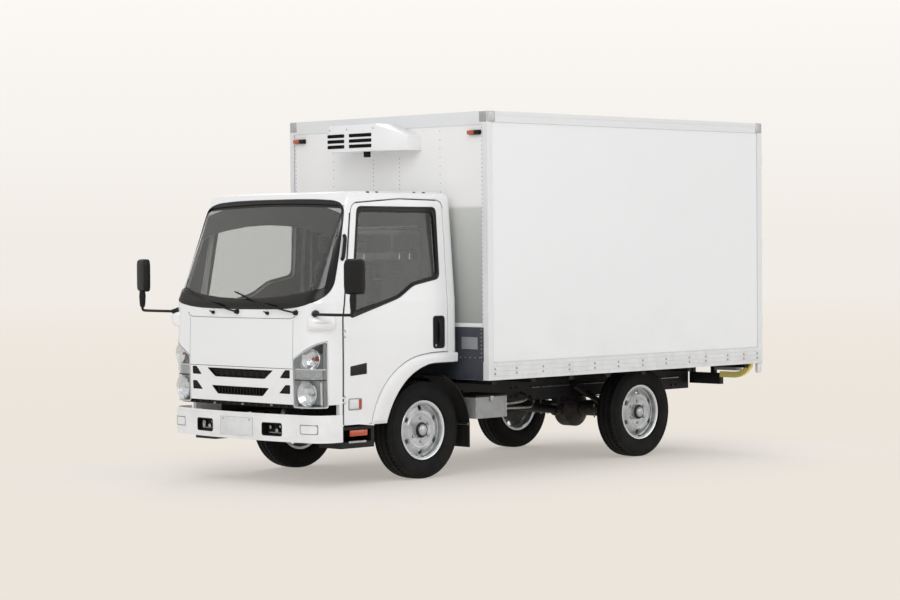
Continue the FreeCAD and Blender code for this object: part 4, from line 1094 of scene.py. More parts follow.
class TRUCK_OT_grille(bpy.types.Operator):
    """Dark grille openings with their bars, the lower grille zone, painted shade along the seams of the lid, the cowl
    and the doors, and the corner pressings
    """
    bl_idname = "truck.grille"
    bl_label = "Grille"

    def execute(self, context):
        parts = []
        for half_top, half_low, top, low, upright in ((0.372, 0.284, 0.851, 0.792, False),
                                                      (0.322, 0.257, 0.719, 0.664, True)):
            outline = [(-half_top, top), (-half_low, low), (half_low, low), (half_top, top)]
            loops = rings(outline, ((-0.004, 0.0006), (-0.001, 0.0022), (0.003, 0.0006), (0.005, -0.022)), 0.012, 3, 6)
            parts.append(coat(band("slot", loops, -Y, fill=True), "grille"))
            if upright:
                for column in range(-7, 8):
                    x = column * 0.036
                    parts.append(coat(patch("slat", lambda h: (x - 0.004, x + 0.004),
                                            spread(low + 0.004, top - 0.004, 2), 2, -0.006, 0.012), "plastic"))
            else:
                for row in range(3):
                    z = low + (top - low) * (row + 1) / 4
                    wide = half_low + (half_top - half_low) * (row + 1) / 4 - 0.006
                    wave = [[wrap(u, z + 0.003 * math.sin(u * 90) + rise, -0.008 + 0.003 * math.cos(u * 90))
                             for u in spread(-wide, wide, 72)] for rise in (-0.004, 0.004)]
                    parts.append(coat(sheet("slat", wave, -Y, 0.008), "plastic"))
        for top, low, toe in ((0.857, 0.803, 0.458), (0.748, 0.690, 0.448)):
            outline = [(0.512, top), (toe, low), (0.556, low), (0.558, top)]
            loops = rings(outline, ((-0.003, 0.0006), (-0.001, 0.002), (0.003, 0.0012), (0.005, 0.0009)), 0.008, 3, 2)
            side = [coat(band("side_slot", loops, -Y, fill=True), "grille")]
            for row in range(2):
                z = low + (top - low) * (row + 1) / 3
                side.append(coat(patch("side_slat", lambda h: (0.497 - (top - z) * 0.5, 0.553),
                                       [z - 0.003, z + 0.003], 4, 0.003, 0.003), "plastic"))
            parts.append(other_side(merge("side_slots", side)))
        finish(merge("grille_slots", parts), "cab", "grille", "black_plastic")
        zone = patch("lower_grille", lambda h: (-0.84, 0.84), spread(0.580, 0.612, 3), 60, -0.025, 0.003)
        parts = [coat(zone, "grille")]
        for column in range(-9, 10):
            x = column * 0.082
            height = 0.598 + 0.005 * math.sin(column * 2.1)
            rib = patch("rib", lambda h: (x - 0.012, x + 0.012), [height - 0.012, height], 2, -0.020, 0.006)
            parts.append(coat(rib, "smoke" if column % 4 == 0 else "plastic"))
        finish(merge("lower_grille", parts), "cab", "grille", "black_plastic")
        # The grey lines along the cowl, the lid's sides and the doors' top edges are painted shade of the seams; the
        # dark strips along the doors' front edges, wider than the gaps, are partly painted shade of the gaps.
        seams = [coat(patch("lid_foot", lambda h: (-0.590, 0.590), (0.868, 0.8715), 40, 0.0006, 0.001), "rubber")]
        cowl = both_halves([(0.0, 1.2315), (0.3, 1.232), (0.56, 1.234), (0.600, 1.243), (0.621, 1.262), (0.628, 1.300)])
        ahead = cowl[-5:] + cowl[:6]
        seams.append(coat(stripe("cowl", ahead, 0.0055), "sealant"))
        for u in (-0.592, 0.592):
            seams.append(coat(stripe("lid_side", [(u, z) for z in spread(0.870, 1.228, 6)], 0.0035), "sealant"))
        for sign in (1, -1):
            ways = [0.462, 0.9, 1.236, 1.345, 1.5, 1.7, 1.85, 2.0]
            front = [(sign * around_at(door_edge(z) - 0.0055, z), z) for z in ways]
            seams.append(coat(stripe("door_front", front, 0.011), "rubber"))
            top = [(sign * around_at(y, z), z) for y, z in ((-0.745, 2.0), (-0.7275, 2.053), (-0.687, 2.0785),
                                                            (-0.25, 2.1085), (0.13, 2.1005), (0.180, 2.084),
                                                            (0.200, 2.040))]
            seams.append(coat(stripe("door_top", top, 0.004), "sealant"))
        finish(merge("cab_seams", seams), "cab", "rubber", "black_plastic")
        loops = rings(box_corners(0.742, 1.152, 0.945, 1.262), ((-0.003, -0.0004), (0.0, 0.014), (0.008, 0.034),
                                                                (0.020, 0.046), (0.035, 0.052), (0.050, 0.054)),
                      0.022, 4, 4)
        finish(other_side(band("corner_pressing", loops, -Y, fill=True)), "cab", "enamel", "white_paint", angle=50)
        return {"FINISHED"}


def bumper_skin(x, height, outward=0.0):
    """Point on the bumper's face at an X, as in the frame."""
    half, nose, corner, bow = 0.872 + outward, -1.178 - outward, 0.150 + outward, 0.060
    edge = half - corner
    if abs(x) <= edge:
        radius = (edge * edge + bow * bow) / (2 * bow)
        return Vector((x, nose + radius - math.sqrt(radius * radius - x * x), height))
    turn = math.asin(min(1, (abs(x) - edge) / corner))
    return Vector((x, nose + bow + corner * (1 - math.cos(turn)), height))


class TRUCK_OT_bumper(bpy.types.Operator):
    """Bumper's fog lamp pockets with bolts and bars, blank number plate, recess covers with painted shade at their
    edges, and the rounded lip
    """
    bl_idname = "truck.bumper"
    bl_label = "Bumper"

    def execute(self, context):
        parts = []
        for middle in (0.385, -0.385):
            loops = rings(box_corners(middle - 0.1, 0.38, middle + 0.1, 0.47),
                          ((-0.004, 0.0004), (0.0, 0.0025), (0.004, 0.0), (0.008, -0.03), (0.010, -0.045)), 0.02, 4, 3,
                          bumper_skin)
            parts.append(coat(band("pocket", loops, -Y, fill=True), "grille"))
            for x, z, radius in ((middle - 0.045, 0.437, 0.014), (middle + 0.02, 0.412, 0.018),
                                 (middle + 0.055, 0.445, 0.010)):
                start = bumper_skin(x, z, -0.044)
                parts.append(coat(drum("bolt", start, start - Y * 0.016, radius, 12, 0.003), "steel"))
            bar = block("pocket_bar", bumper_skin(middle, 0.392, -0.045) - Vector((0.07, 0.01, 0)),
                        bumper_skin(middle, 0.402, -0.03) + Vector((0.07, 0.012, 0)), 0.003, 1)
            parts.append(coat(bar, "smoke"))
        finish(merge("bumper_pockets", parts), "chassis", "grille", "black_plastic")
        rows = [[bumper_skin(x, z, 0.0012) for x in spread(-0.184, 0.184, 24)] for z in spread(0.368, 0.498, 4)]
        board = sheet("plate_backing", rows, -Y, 0.003)
        coat(board, "lacquer")
        screws = [coat(drum("screw", bumper_skin(x, 0.484, 0.001), bumper_skin(x, 0.484, 0.004), 0.006, 10, 0.001),
                       "steel") for x in (-0.15, 0.15)]
        finish(merge("number_plate_blank", [board] + screws), "chassis", "lacquer", "white_paint")
        parts = []
        # Each recess is covered flush. A grey line round its edge and a dark strip under its top are painted shade of
        # the recess.
        for sign in (1, -1):
            rows = [[bumper_skin(sign * x, z, 0.0006) for x in spread(0.655, 0.860, 16)]
                    for z in spread(0.386, 0.478, 3)]
            parts.append(coat(sheet("recess_cover", rows, -Y), "enamel"))
            loops = rings(box_corners(0.664, 0.402, 0.812, 0.466),
                          ((-0.003, 0.0008), (-0.001, 0.0032), (0.001, 0.0032), (0.003, 0.0012)), 0.014, 4, 4,
                          lambda x, z, out: bumper_skin(sign * x, z, out))
            parts.append(coat(band("recess_edge", loops, -Y), "sealant"))
            shade = [bumper_skin(sign * x, 0.4655, 0.0016) for x in (0.662, 0.70, 0.75, 0.80, 0.814)]
            parts.append(coat(sheet("recess_shade", [shade, [p + Z * 0.0035 for p in shade]], -Y), "rubber"))
        finish(merge("bumper_recess_edges", parts), "chassis", "tank", "black_plastic")
        rows = [[bumper_skin(x, z, out) for x in spread(-0.868, 0.868, 80)]
                for z, out in ((0.520, 0.0006), (0.529, 0.003), (0.536, 0.001), (0.538, -0.010))]
        lip = sheet("bumper_lip", rows, -Y)
        finish(lip, "chassis", "enamel", "white_paint", angle=60)
        return {"FINISHED"}


class TRUCK_OT_wipers(bpy.types.Operator):
    """Wiper arms with blades, and washer nozzles"""
    bl_idname = "truck.wipers"
    bl_label = "Wipers"

    def execute(self, context):
        parts = []
        for pivot, tip in (((-0.022, 1.278), (-0.661, 1.440)), ((0.627, 1.278), (-0.055, 1.420))):
            start, out = wrap(*pivot, 0.016), facing(*pivot)
            parts.append(drum("pivot", start - out * 0.022, start + out * 0.012, 0.020, 24, 0.004, 0.015))
            track = [wrap(pivot[0] + (tip[0] - pivot[0]) * t, pivot[1] + (tip[1] - pivot[1]) * t ** 1.15,
                          0.020 + 0.012 * math.sin(t * 3.1)) for t in spread(0, 1, 7)]
            parts.append(hose("arm", track, 0.0065, 3))
            blade = [wrap(pivot[0] + (tip[0] - pivot[0]) * t, pivot[1] + (tip[1] - pivot[1]) * t ** 1.15 - 0.006, 0.004)
                     for t in spread(0.30, 1.06, 9)]
            parts.append(hose("blade", blade, 0.0055, 3))
        for x, z in ((-0.303, 1.268), (0.321, 1.270)):
            spot = wrap(x, z, 0.0)
            parts.append(drum("nozzle", spot, spot + facing(x, z) * 0.022, 0.014, 16, 0.004, 0.010))
            parts.append(drum("nozzle_tip", spot + Vector((0, -0.012, 0.004)), spot + Vector((-0.034, -0.016, 0.012)),
                              0.006, 12, 0.002, 0.004))
        finish(merge("wiper_arms", parts), "cab", "plastic", "black_plastic", ("wipers",))
        return {"FINISHED"}


class TRUCK_OT_mirrors(bpy.types.Operator):
    """Mirror heads with panes, and their bent arms"""
    bl_idname = "truck.mirrors"
    bl_label = "Mirrors"

    def execute(self, context):
        sizes = context.scene.truck_sizes
        front = -1.120
        arm_end = 1.2145
        stem = Vector((arm_end, -1.09, 0))
        turned = Matrix.Translation(stem) @ Matrix.Rotation(sizes.mirror_turn, 4, "Z") @ Matrix.Translation(-stem)
        outline = [(1.140, 1.414), (1.290, 1.414), (1.297, 1.47), (1.297, 1.63), (1.282, 1.667), (1.150, 1.667),
                   (1.133, 1.63), (1.133, 1.47)]
        loops = rings(outline, ((0.030, 0.0005), (0.012, 0.004), (0.003, 0.016), (0.0, 0.034), (0.001, 0.050),
                                (0.006, 0.056), (0.010, 0.0565), (0.013, 0.050)), 0.036, 5, 2,
                      lambda x, z, out: Vector((x, front + out, z)))
        head = band("mirror_head", loops, -Y, fill=True)
        cap(head, lambda e: True)
        pane = [Vector((x, front + 0.0515, z)) for x, z in rounded(inset(outline, 0.016), 0.030, 5, 2)]
        glass = coat(plate("mirror_pane", pane, (0, 0.002, 0)), "chrome")
        for piece in (head, glass):
            piece.data.transform(turned)
        track = ((0.812, -1.118, 1.268), (0.90, -1.124, 1.268), (1.05, -1.116, 1.268), (1.16, -1.108, 1.268),
                 (1.208, -1.105, 1.270), (arm_end, -1.104, 1.30), (arm_end, -1.103, 1.36), (arm_end, -1.100, 1.42))
        arm = hose("mirror_arm", [Vector(p) for p in track], sizes.mirror_arm, 4)
        sleeve = lathe("mirror_sleeve", [(0, 0.0), (0, 0.017), (0.02, 0.022), (0.085, 0.026), (0.125, 0.022),
                                         (0.125, 0)], (arm_end, -1.102, 1.295), 24, Z)
        foot = lathe("mirror_foot", [(0, 0), (0, 0.030), (0.012, 0.030), (0.034, 0.020), (0.055, 0.015), (0.058, 0)],
                     wrap(0.80, 1.268, -0.004), 28, facing(0.80, 1.268))
        parts = [coat(piece, "plastic") for piece in (head, arm, sleeve, foot)] + [glass]
        finish(other_side(merge("door_mirrors", parts)), "cab", "plastic", "black_plastic", ("mirrors",))
        return {"FINISHED"}


class TRUCK_OT_door_trim(bpy.types.Operator):
    """Door handles with their locks, grab bars, blank badges and side lamps"""
    bl_idname = "truck.door_trim"
    bl_label = "Door trim"

    def execute(self, context):
        for side, sign in SIDES:
            flat = on_side(sign)
            loops = rings(box_corners(0.043, 0.985, 0.160, 1.225), ((-0.003, 0.0004), (0.0, 0.005), (0.010, 0.006),
                                                                    (0.016, 0.0014), (0.022, 0.0010)), 0.028, 5, 2,
                          flat)
            well = band("handle_well", loops, X * sign, fill=True)
            grip = [flat(0.108, z, out) for z, out in ((1.010, -0.006), (1.03, 0.006), (1.06, 0.013), (1.15, 0.013),
                                                       (1.18, 0.006), (1.20, -0.006))]
            bar = hose("handle_bar", grip, 0.0125, 4)
            lock = drum("lock", (sign * (side_half(1.0) + 0.001), 0.068, 1.005),
                        (sign * (side_half(1.0) + 0.007), 0.068, 1.005), 0.010, 20, 0.002)
            parts = [coat(well, "plastic"), coat(bar, "plastic"), coat(lock, "steel")]
            slant = [(-0.800, 0.812), (-0.637, 0.822), (-0.637, 0.904), (-0.800, 0.882)]
            loops = rings(slant, ((0.0, 0.0002), (0.002, 0.003), (0.006, 0.0034)), 0.006, 3, 1, flat)
            parts.append(coat(band("blank_badge", loops, X * sign, fill=True), "glaze"))
            loops = rings(box_corners(-0.816, 0.566, -0.690, 0.646),
                          ((-0.004, 0.0003), (-0.002, 0.004), (0.002, 0.0045)), 0.016, 4, 1, flat)
            parts.append(coat(band("side_lamp_rim", loops, X * sign), "smoke"))
            for name, low, high in (("clear", -0.812, -0.720), ("amber", -0.719, -0.694)):
                loops = rings(box_corners(low, 0.570, high, 0.642), ((0.0, 0.003), (0.004, 0.009), (0.016, 0.012)),
                              0.012, 4, 1, flat)
                parts.append(coat(band("side_lamp_" + name, loops, X * sign, fill=True),
                                  "lens_white" if name == "clear" else "amber"))
            finish(merge(side + "_door_trim", parts), side + "_door", "plastic", "black_plastic")
        rail = [wrap(0.895 - (z - 1.672) * 0.263, z, out)
                for z, out in ((1.660, 0.001), (1.668, 0.012), (1.690, 0.017), (1.805, 0.017), (1.826, 0.012),
                               (1.834, 0.001))]
        finish(other_side(hose("grab_bars", rail, context.scene.truck_sizes.grab_bar, 4)), "cab", "plastic",
               "black_plastic")
        return {"FINISHED"}


ARCH_EDGE = [(-0.574, 0.468), (-0.552, 0.545), (-0.515, 0.628), (-0.465, 0.712), (-0.396, 0.790), (-0.31, 0.853),
             (-0.21, 0.902), (-0.10, 0.932), (0.02, 0.944), (0.11, 0.946), (0.20, 0.946), (0.292, 0.946)]
ARCH_LIP = [(-0.436, 0.468), (-0.424, 0.520), (-0.395, 0.580), (-0.350, 0.650), (-0.297, 0.710), (-0.235, 0.762),
            (-0.165, 0.808), (-0.090, 0.843), (-0.010, 0.868), (0.07, 0.876), (0.17, 0.876), (0.292, 0.876)]


class TRUCK_OT_arches(bpy.types.Operator):
    """Raised edges of the front wheel arches with their dark liners, and the step trims"""
    bl_idname = "truck.arches"
    bl_label = "Wheel arches"

    def execute(self, context):
        rows = []
        for mix, out in ((0.0, 0.0004), (0.06, 0.007), (0.14, 0.010), (0.5, 0.0095), (0.90, 0.0085), (0.98, 0.006),
                         (1.0, -0.004)):
            rows.append([Vector((side_half(a[1] * (1 - mix) + b[1] * mix) + out, a[0] * (1 - mix) + b[0] * mix,
                                 a[1] * (1 - mix) + b[1] * mix)) for a, b in zip(ARCH_EDGE, ARCH_LIP)])
        flare = other_side(sheet("arch_flares", rows, X))
        finish(flare, "cab", "enamel", "white_paint", angle=50)
        rows = []
        for mix, x in ((1.0, 0.846), (1.03, 0.840), (1.10, 0.836), (1.12, 0.830), (1.12, 0.62)):
            rows.append([Vector((x, a[0] * (1 - mix) + b[0] * mix, a[1] * (1 - mix) + b[1] * mix))
                         for a, b in zip(ARCH_EDGE, ARCH_LIP)])
        liner = other_side(sheet("arch_liners", rows, (0, 0, -1), 0.003))
        finish(liner, "cab", "plastic", "black_plastic")
        parts = []
        glow = block("step_reflector", (0.8352, -0.806, 0.372), (0.845, -0.633, 0.416), 0.004, 2)
        parts.append(coat(glow, "amber"))
        foil = block("step_strip", (0.8352, -0.812, 0.322), (0.840, -0.640, 0.338), 0.002, 1)
        parts.append(coat(foil, "aluminium"))
        tread = [slab("step_tread", (0.66, y, 0.3302), (0.83, y + 0.012, 0.336), 0.002, 1, "plastic")
                 for y in (-0.84, -0.80, -0.76, -0.72, -0.68, -0.64)]
        finish(other_side(merge("step_trims", parts + tread)), "chassis", "plastic", "black_plastic")
        return {"FINISHED"}


# Wheels

def tyre_profile():
    """Outline of the tyre, from one bead over the tread to the other, with grooves in the tread."""
    half = [(0.064, 0.206), (0.068, 0.2205), (0.079, 0.228), (0.088, 0.243), (0.094, 0.262), (0.0973, 0.288),
            (0.0972, 0.305), (0.093, 0.328), (0.0865, 0.345), (0.0795, 0.357), (0.0745, 0.3645)]
    tread = [(0.052, 0.3675), (0.050, 0.3595), (0.043, 0.3595), (0.041, 0.3683), (0.007, 0.369), (0.005, 0.361)]
    right = [(-x, r) for x, r in half]
    return right + [(-x, r) for x, r in tread] + tread[::-1] + half[::-1]


class TRUCK_OT_tyres(bpy.types.Operator):
    """Tyres with ribs, shoulder blocks and rings on the sidewalls"""
    bl_idname = "truck.tyres"
    bl_label = "Tyres"

    def execute(self, context):
        sizes = context.scene.truck_sizes
        count = sizes.shoulder_blocks
        first = lathe("tyre", tyre_profile(), (0, 0, 0), count * 2)

        def in_block(face):
            middle = face.calc_center_median()
            radius = math.hypot(middle.y, middle.z)
            turn = math.atan2(middle.z, middle.y) / math.tau * count * 2
            outer = 0.0535 < abs(middle.x) < 0.0765 and radius > 0.362
            return outer and math.floor(turn) % 2 == 0
        pick(first, in_block)
        bpy.ops.mesh.extrude_region_shrink_fatten(TRANSFORM_OT_shrink_fatten={"value": -sizes.tread_depth})
        done()
        ridges = []
        for radius, x in ((0.238, 0.0865), (0.3315, 0.0925)):
            for side in (1, -1):
                clear_selection()
                bpy.ops.mesh.primitive_torus_add(major_radius=radius, minor_radius=0.0022, major_segments=96,
                                                 minor_segments=8, rotation=(0, math.pi / 2, 0),
                                                 location=(side * x, 0, 0))
                ridges.append(named("ring"))
                bpy.ops.object.transform_apply(location=True, rotation=True, scale=True)
        first = merge("tyre", [first] + ridges)
        for name, x, y in wheel_places():
            piece = copy_at(first, Matrix.Translation((x, y, TYRE_RADIUS)))
            piece.name = name + "_tread"
            finish(piece, name + "_wheel", "tyre", "tyre_rubber", (name + "_tyre",), 30)
        bpy.data.objects.remove(first)
        return {"FINISHED"}


def wheel_places():
    return [(end + "_" + side, sign * WHEEL_X, y)
            for end, y in (("front", 0.0), ("rear", WHEELBASE)) for side, sign in SIDES]


def dress(node, name, width, paint=None, steps=2, cuts=()):
    """Copy of a frame node with its doubles merged and its sharp edges rounded. paint gives the finish of a
    face from its middle, in the axle's frame."""
    piece = copy_at(frame["nodes"][node], Matrix.Translation((0, -FRONT_AXLE, 0)))
    piece.name = piece.data.name = name
    piece.parent = None
    edit(piece)
    whole()
    bpy.ops.mesh.remove_doubles(threshold=WELD)
    whole()
    bpy.ops.mesh.dissolve_limited(angle_limit=math.radians(1))
    for cut in cuts:
        whole()
        bpy.ops.mesh.bisect(plane_co=(cut, 0, 0), plane_no=(1, 0, 0))
    done()
    modify(piece, "BEVEL", width=width, segments=steps, limit_method="ANGLE", angle_limit=math.radians(35))
    piece.data.materials.clear()
    if paint:
        names = []
        for face in piece.data.polygons:
            choice = paint(face.center)
            if choice not in names:
                names.append(choice)
                piece.data.materials.append(FINISHES[choice])
            face.material_index = names.index(choice)
    return piece


class TRUCK_OT_wheel_fittings(bpy.types.Operator):
    """Hub rings with caps, rolled rim edges, valves and hole edges"""
    bl_idname = "truck.wheel_fittings"
    bl_label = "Wheel fittings"

    def execute(self, context):
        ring = coat(lathe("hub_ring", [(0.0595, 0.046), (0.0595, 0.0575), (0.064, 0.059), (0.069, 0.056),
                                       (0.0705, 0.050), (0.070, 0.0405), (0.062, 0.0405)], (0, 0, 0), 64), "glaze")
        hub = coat(lathe("hub_cap", [(0.066, 0.0), (0.066, 0.0400), (0.074, 0.0405), (0.081, 0.037), (0.0865, 0.028),
                                     (0.0885, 0.015), (0.089, 0.0)], (0, 0, 0), 64), "wheel")
        lip = coat(lathe("rim_edge", [(0.070, 0.2195), (0.0725, 0.2235), (0.0765, 0.2245), (0.079, 0.222),
                                      (0.0785, 0.2175), (0.074, 0.2125), (0.069, 0.206), (0.066, 0.2035),
                                      (0.0655, 0.206)], (0, 0, 0), 96), "rim_bright")
        step = coat(lathe("disc_step", [(0.0490, 0.112), (0.0545, 0.116), (0.0560, 0.122), (0.0575, 0.136),
                                        (0.0570, 0.142), (0.0520, 0.146), (0.048, 0.130)], (0, 0, 0), 96), "wheel")
        parts = [ring, hub, lip, step]
        nut = lathe("wheel_nut", [(0.046, 0.0), (0.046, 0.0125), (0.056, 0.0125), (0.0585, 0.009), (0.0585, 0.0)],
                    (0, 0, 0), 6)
        coat(nut, "steel")
        for turn in range(6):
            angle = math.tau * (turn + 0.5) / 6
            twin = copy_at(nut, Matrix.Translation((0.001, 0.088 * math.cos(angle), 0.088 * math.sin(angle))))
            twin.name = "nut"
            parts.append(twin)
        bpy.data.objects.remove(nut)
        for turn in range(6):
            angle = math.tau * turn / 6
            loops = rings(box_corners(-0.0215, 0.1465, 0.0215, 0.1915),
                          ((-0.005, 0.0462), (-0.001, 0.0495), (0.002, 0.0480), (0.003, 0.036)), 0.009, 3, 1,
                          lambda a, b, x: Matrix.Rotation(angle, 3, "X") @ Vector((x - (b - 0.15) * 0.30, a, b)))
            parts.append(coat(band("hole_edge", loops, X), "wheel"))
        valve = coat(drum("valve", (0.058, 0.0, -0.196), (0.082, 0.0, -0.199), 0.0045, 12, 0.001, 0.0035), "plastic")
        left = merge("wheel_fittings", parts + [valve])
        right = other_side(left, "wheel_fittings_right", both=False)
        for name, x, y in wheel_places():
            piece = copy_at(left if x > 0 else right, Matrix.Translation((x, y, TYRE_RADIUS)))
            piece.name = name + "_fittings"
            finish(piece, name + "_wheel", "wheel", "silver_wheel", angle=40)
        bpy.data.objects.remove(left)
        bpy.data.objects.remove(right)
        return {"FINISHED"}


# Box

def rivet_rows(name, spots, out, radius, height=0.0022):
    """Low domed rivet heads at many spots, looking towards out."""
    out = Vector(out)
    head = drum(name, Vector((0, 0, 0)) - out * 0.0004, out * height, radius, 8, 0.0, radius * 0.55)
    return repeat_at(head, spots)


def repeat_at(piece, spots):
    """The piece at each of its spots, joined."""
    copies = [copy_at(piece, Matrix.Translation(spot)) for spot in spots]
    name = piece.name
    bpy.data.objects.remove(piece)
    return merge(name, copies)


class TRUCK_OT_box_trim(bpy.types.Operator):
    """Rivets, corner castings, sill ribs and bolts, rail edges and the kick plate of the front wall"""
    bl_idname = "truck.box_trim"
    bl_label = "Box trim"

    def execute(self, context):
        sizes = context.scene.truck_sizes
        half, front, rear, low, high = BOX_HIGH.x, BOX_LOW.y, BOX_REAR, BOX_LOW.z, BOX_HIGH.z
        spots = []
        for x, count in ((-0.605, 20), (-0.136, 40), (0.163, 40), (0.614, 20)):
            spots += [Vector((x, WALL, z)) for z in spread(1.30, 2.63, count)
                      if not (-0.43 < x < 0.43 and z > 2.46)]
        for x in (-1.062, 1.062):
            spots += [Vector((x, WALL, z)) for z in spread(1.20, 2.64, 43)]
        for z in (0.765, 0.905):
            spots += [Vector((x, WALL - 0.004, z)) for x in spread(-1.03, 1.03, 40)]
        spots += [Vector((x, WALL - 0.004, z)) for x in (-1.047, 1.047) for z in spread(0.76, 1.12, 12)]
        finish(rivet_rows("front_wall_rivets", spots, -Y, sizes.rivet_head), "chassis", "steel", "aluminium_rail")
        parts = [slab("kick_plate", (-WALL_HALF, WALL - 0.004, low + 0.14), (WALL_HALF, WALL + 0.001, 1.133), 0.0015, 1,
                      "kick"),
                 slab("kick_foot", (-WALL_HALF, front - 0.0028, low + 0.001), (WALL_HALF, front + 0.0005, low + 0.146),
                      0.001, 1, "kick"),
                 slab("wall_ledge", (-WALL_HALF, WALL - 0.010, 1.136), (WALL_HALF, WALL + 0.001, 1.166), 0.003, 2,
                      "lacquer"),
                 slab("grey_tag", (0.838, WALL - 0.007, 0.968), (1.008, WALL - 0.0035, 1.060), 0.0012, 1, "smoke")]
        finish(merge("front_wall_kick_plate", parts), "chassis", "kick", "grey_trim")
        parts = []
        for sx in (1, -1):
            for y0, y1 in ((front - 0.003, front + 0.092), (rear - 0.092, rear + 0.003)):
                xs = sorted((sx * (half - 0.088), sx * (half + 0.003)))
                parts.append(slab("casting", (xs[0], y0, high - 0.086), (xs[1], y1, high + 0.003), sizes.casting_edge,
                                  3, "aluminium"))
        finish(merge("corner_castings", parts), "chassis", "aluminium", "aluminium_rail", angle=60)
        post, back_post = front + 0.052, rear - 0.062
        sill_top, rail_foot = low + 0.138, high - 0.083
        parts = [slab("sill_rib", (half - 0.001, front + 0.055, low + z), (half + 0.003, back_post, low + z + 0.007),
                      0.002, 1, "lacquer") for z in (0.030, 0.066, 0.102)]
        for name, start, end, width, paint in (
                ("sill_top", (half - 0.001, post, low + 0.1345), (half + 0.0035, back_post, low + 0.1385), 0.001,
                 "silver"),
                ("rail_low", (half - 0.0065, post, rail_foot), (half + 0.0005, back_post, high - 0.079), 0.001,
                 "silver"),
                ("rail_mid", (half - 0.001, front + 0.092, high - 0.030), (half + 0.0025, rear - 0.092, high - 0.024),
                 0.001, "lacquer"),
                ("post_seam", (half - 0.0062, front + 0.050, sill_top), (half + 0.0004, front + 0.053, rail_foot),
                 0.0008, "silver"),
                ("post_seam", (half - 0.0062, back_post, sill_top), (half + 0.0004, back_post + 0.003, rail_foot),
                 0.0008, "silver"),
                ("front_seam", (1.075, front - 0.0005, low + 0.01), (1.078, front + 0.004, high - 0.1), 0.0008,
                 "silver")):
            parts.append(slab(name, start, end, width, 1, paint))
        bolt = drum("sill_bolt", (half - 0.001, 0, 0), (half + 0.006, 0, 0), 0.0085, 10, 0.0015, 0.007)
        rows = [Vector((0, y, low + z)) for y in (0.42, 0.655, 0.951, 1.248, 1.544, 1.825, 2.12, 2.41, 2.704, 2.916,
                                                  3.202, 3.417, 3.60) for z in (0.048, 0.084)]
        parts.append(coat(repeat_at(bolt, rows), "steel"))
        rivet = [Vector((half, y, high - 0.060)) for y in spread(front + 0.12, rear - 0.12, 44)]
        rivet += [Vector((half, y, z)) for y in (front + 0.025, rear - 0.03) for z in spread(low + 0.19, high - 0.14,
                                                                                             50)]
        parts.append(coat(rivet_rows("side_rivets", rivet, X, 0.0045, 0.0015), "lacquer"))
        finish(other_side(merge("box_side_trim", parts)), "chassis", "lacquer", "white_panel")
        return {"FINISHED"}


DRAIN_TOP = 2.48


class TRUCK_OT_cooling_unit(bpy.types.Operator):
    """Cooling unit's casing with rounded edges, dark louvres and fasteners"""
    bl_idname = "truck.cooling_unit"
    bl_label = "Cooling unit"

    def execute(self, context):
        casing = dress("refrigeration_unit", "cooling_unit_casing", context.scene.truck_sizes.unit_edge,
                       lambda p: "rubber" if p.z < DRAIN_TOP else "gelcoat", 3)
        face = WALL - 0.270
        parts = [casing]
        for low, high in ((-0.368, -0.181), (-0.118, 0.130)):
            for z in (2.531, 2.573, 2.615):
                loops = rings(box_corners(low, z - 0.009, high, z + 0.009),
                              ((-0.0045, 0.0005), (-0.002, 0.0032), (0.001, 0.002), (0.002, -0.0105)), 0.007, 3, 1,
                              lambda x, h, out: Vector((x, face - out, h)))
                parts.append(coat(band("louvre", loops, -Y, fill=True), "grille"))
                parts.append(slab("louvre_blade", (low + 0.004, face + 0.001, z - 0.002),
                                  (high - 0.004, face + 0.010, z + 0.001), 0.0008, 1, "plastic"))
        for x in (-0.35, -0.15, 0.15):
            parts.append(coat(drum("fastener", (x, face - 0.001, 2.665), (x, face + 0.003, 2.665), 0.006, 12, 0.001),
                              "steel"))
        finish(merge("cooling_unit", parts), "chassis", "gelcoat", "white_panel", ("refrigeration_unit",), 35)
        return {"FINISHED"}


class TRUCK_OT_lamps(bpy.types.Operator):
    """Front markers, rear lamp clusters and their lenses"""
    bl_idname = "truck.lamps"
    bl_label = "Lamps of the box"

    def execute(self, context):
        parts = []
        for sign in (1, -1):
            low, high = sorted((sign * 0.935, sign * 1.060))
            parts.append(slab("marker_base", (low, WALL - 0.014, 2.588), (high, WALL, 2.624), 0.004, 2, "plastic"))
            split = low + (high - low) * 0.6
            cells = ((low + 0.003, split, "amber"), (split + 0.001, high - 0.003, "plastic"))
            for start, end, name in cells:
                lens = block("marker_lens", (start, WALL - 0.038, 2.591), (end, WALL - 0.012, 2.621), 0.006, 3)
                parts.append(coat(lens, name))
        for sign in (1, -1):
            low, high = sorted((sign * 0.680, sign * 0.920))
            box = block("tail_housing", (low, BOX_REAR - 0.1, 0.668), (high, BOX_REAR - 0.020, 0.7358), 0.006, 2)
            parts.append(coat(box, "smoke"))
            thirds = spread(low + 0.004, high - 0.004, 3)
            order = ("lens_white", "amber", "red") if sign > 0 else ("red", "amber", "lens_white")
            for start, end, name in zip(thirds, thirds[1:], order):
                lens = block("tail_lens", (start + 0.001, BOX_REAR - 0.022, 0.673),
                             (end - 0.001, BOX_REAR - 0.010, 0.731), 0.005, 2)
                parts.append(coat(lens, name))
        for x in (-0.32, 0.0, 0.32):
            parts.append(slab("rear_marker", (x - 0.04, BOX_REAR - 0.001, 2.70), (x + 0.04, BOX_REAR + 0.016, 2.725),
                              0.005, 2, "red"))
        finish(merge("marker_lamps", parts), "chassis", "amber", "amber_lens", ("box_lamps",), 40)
        return {"FINISHED"}


YELLOW_FROM = 0.7205


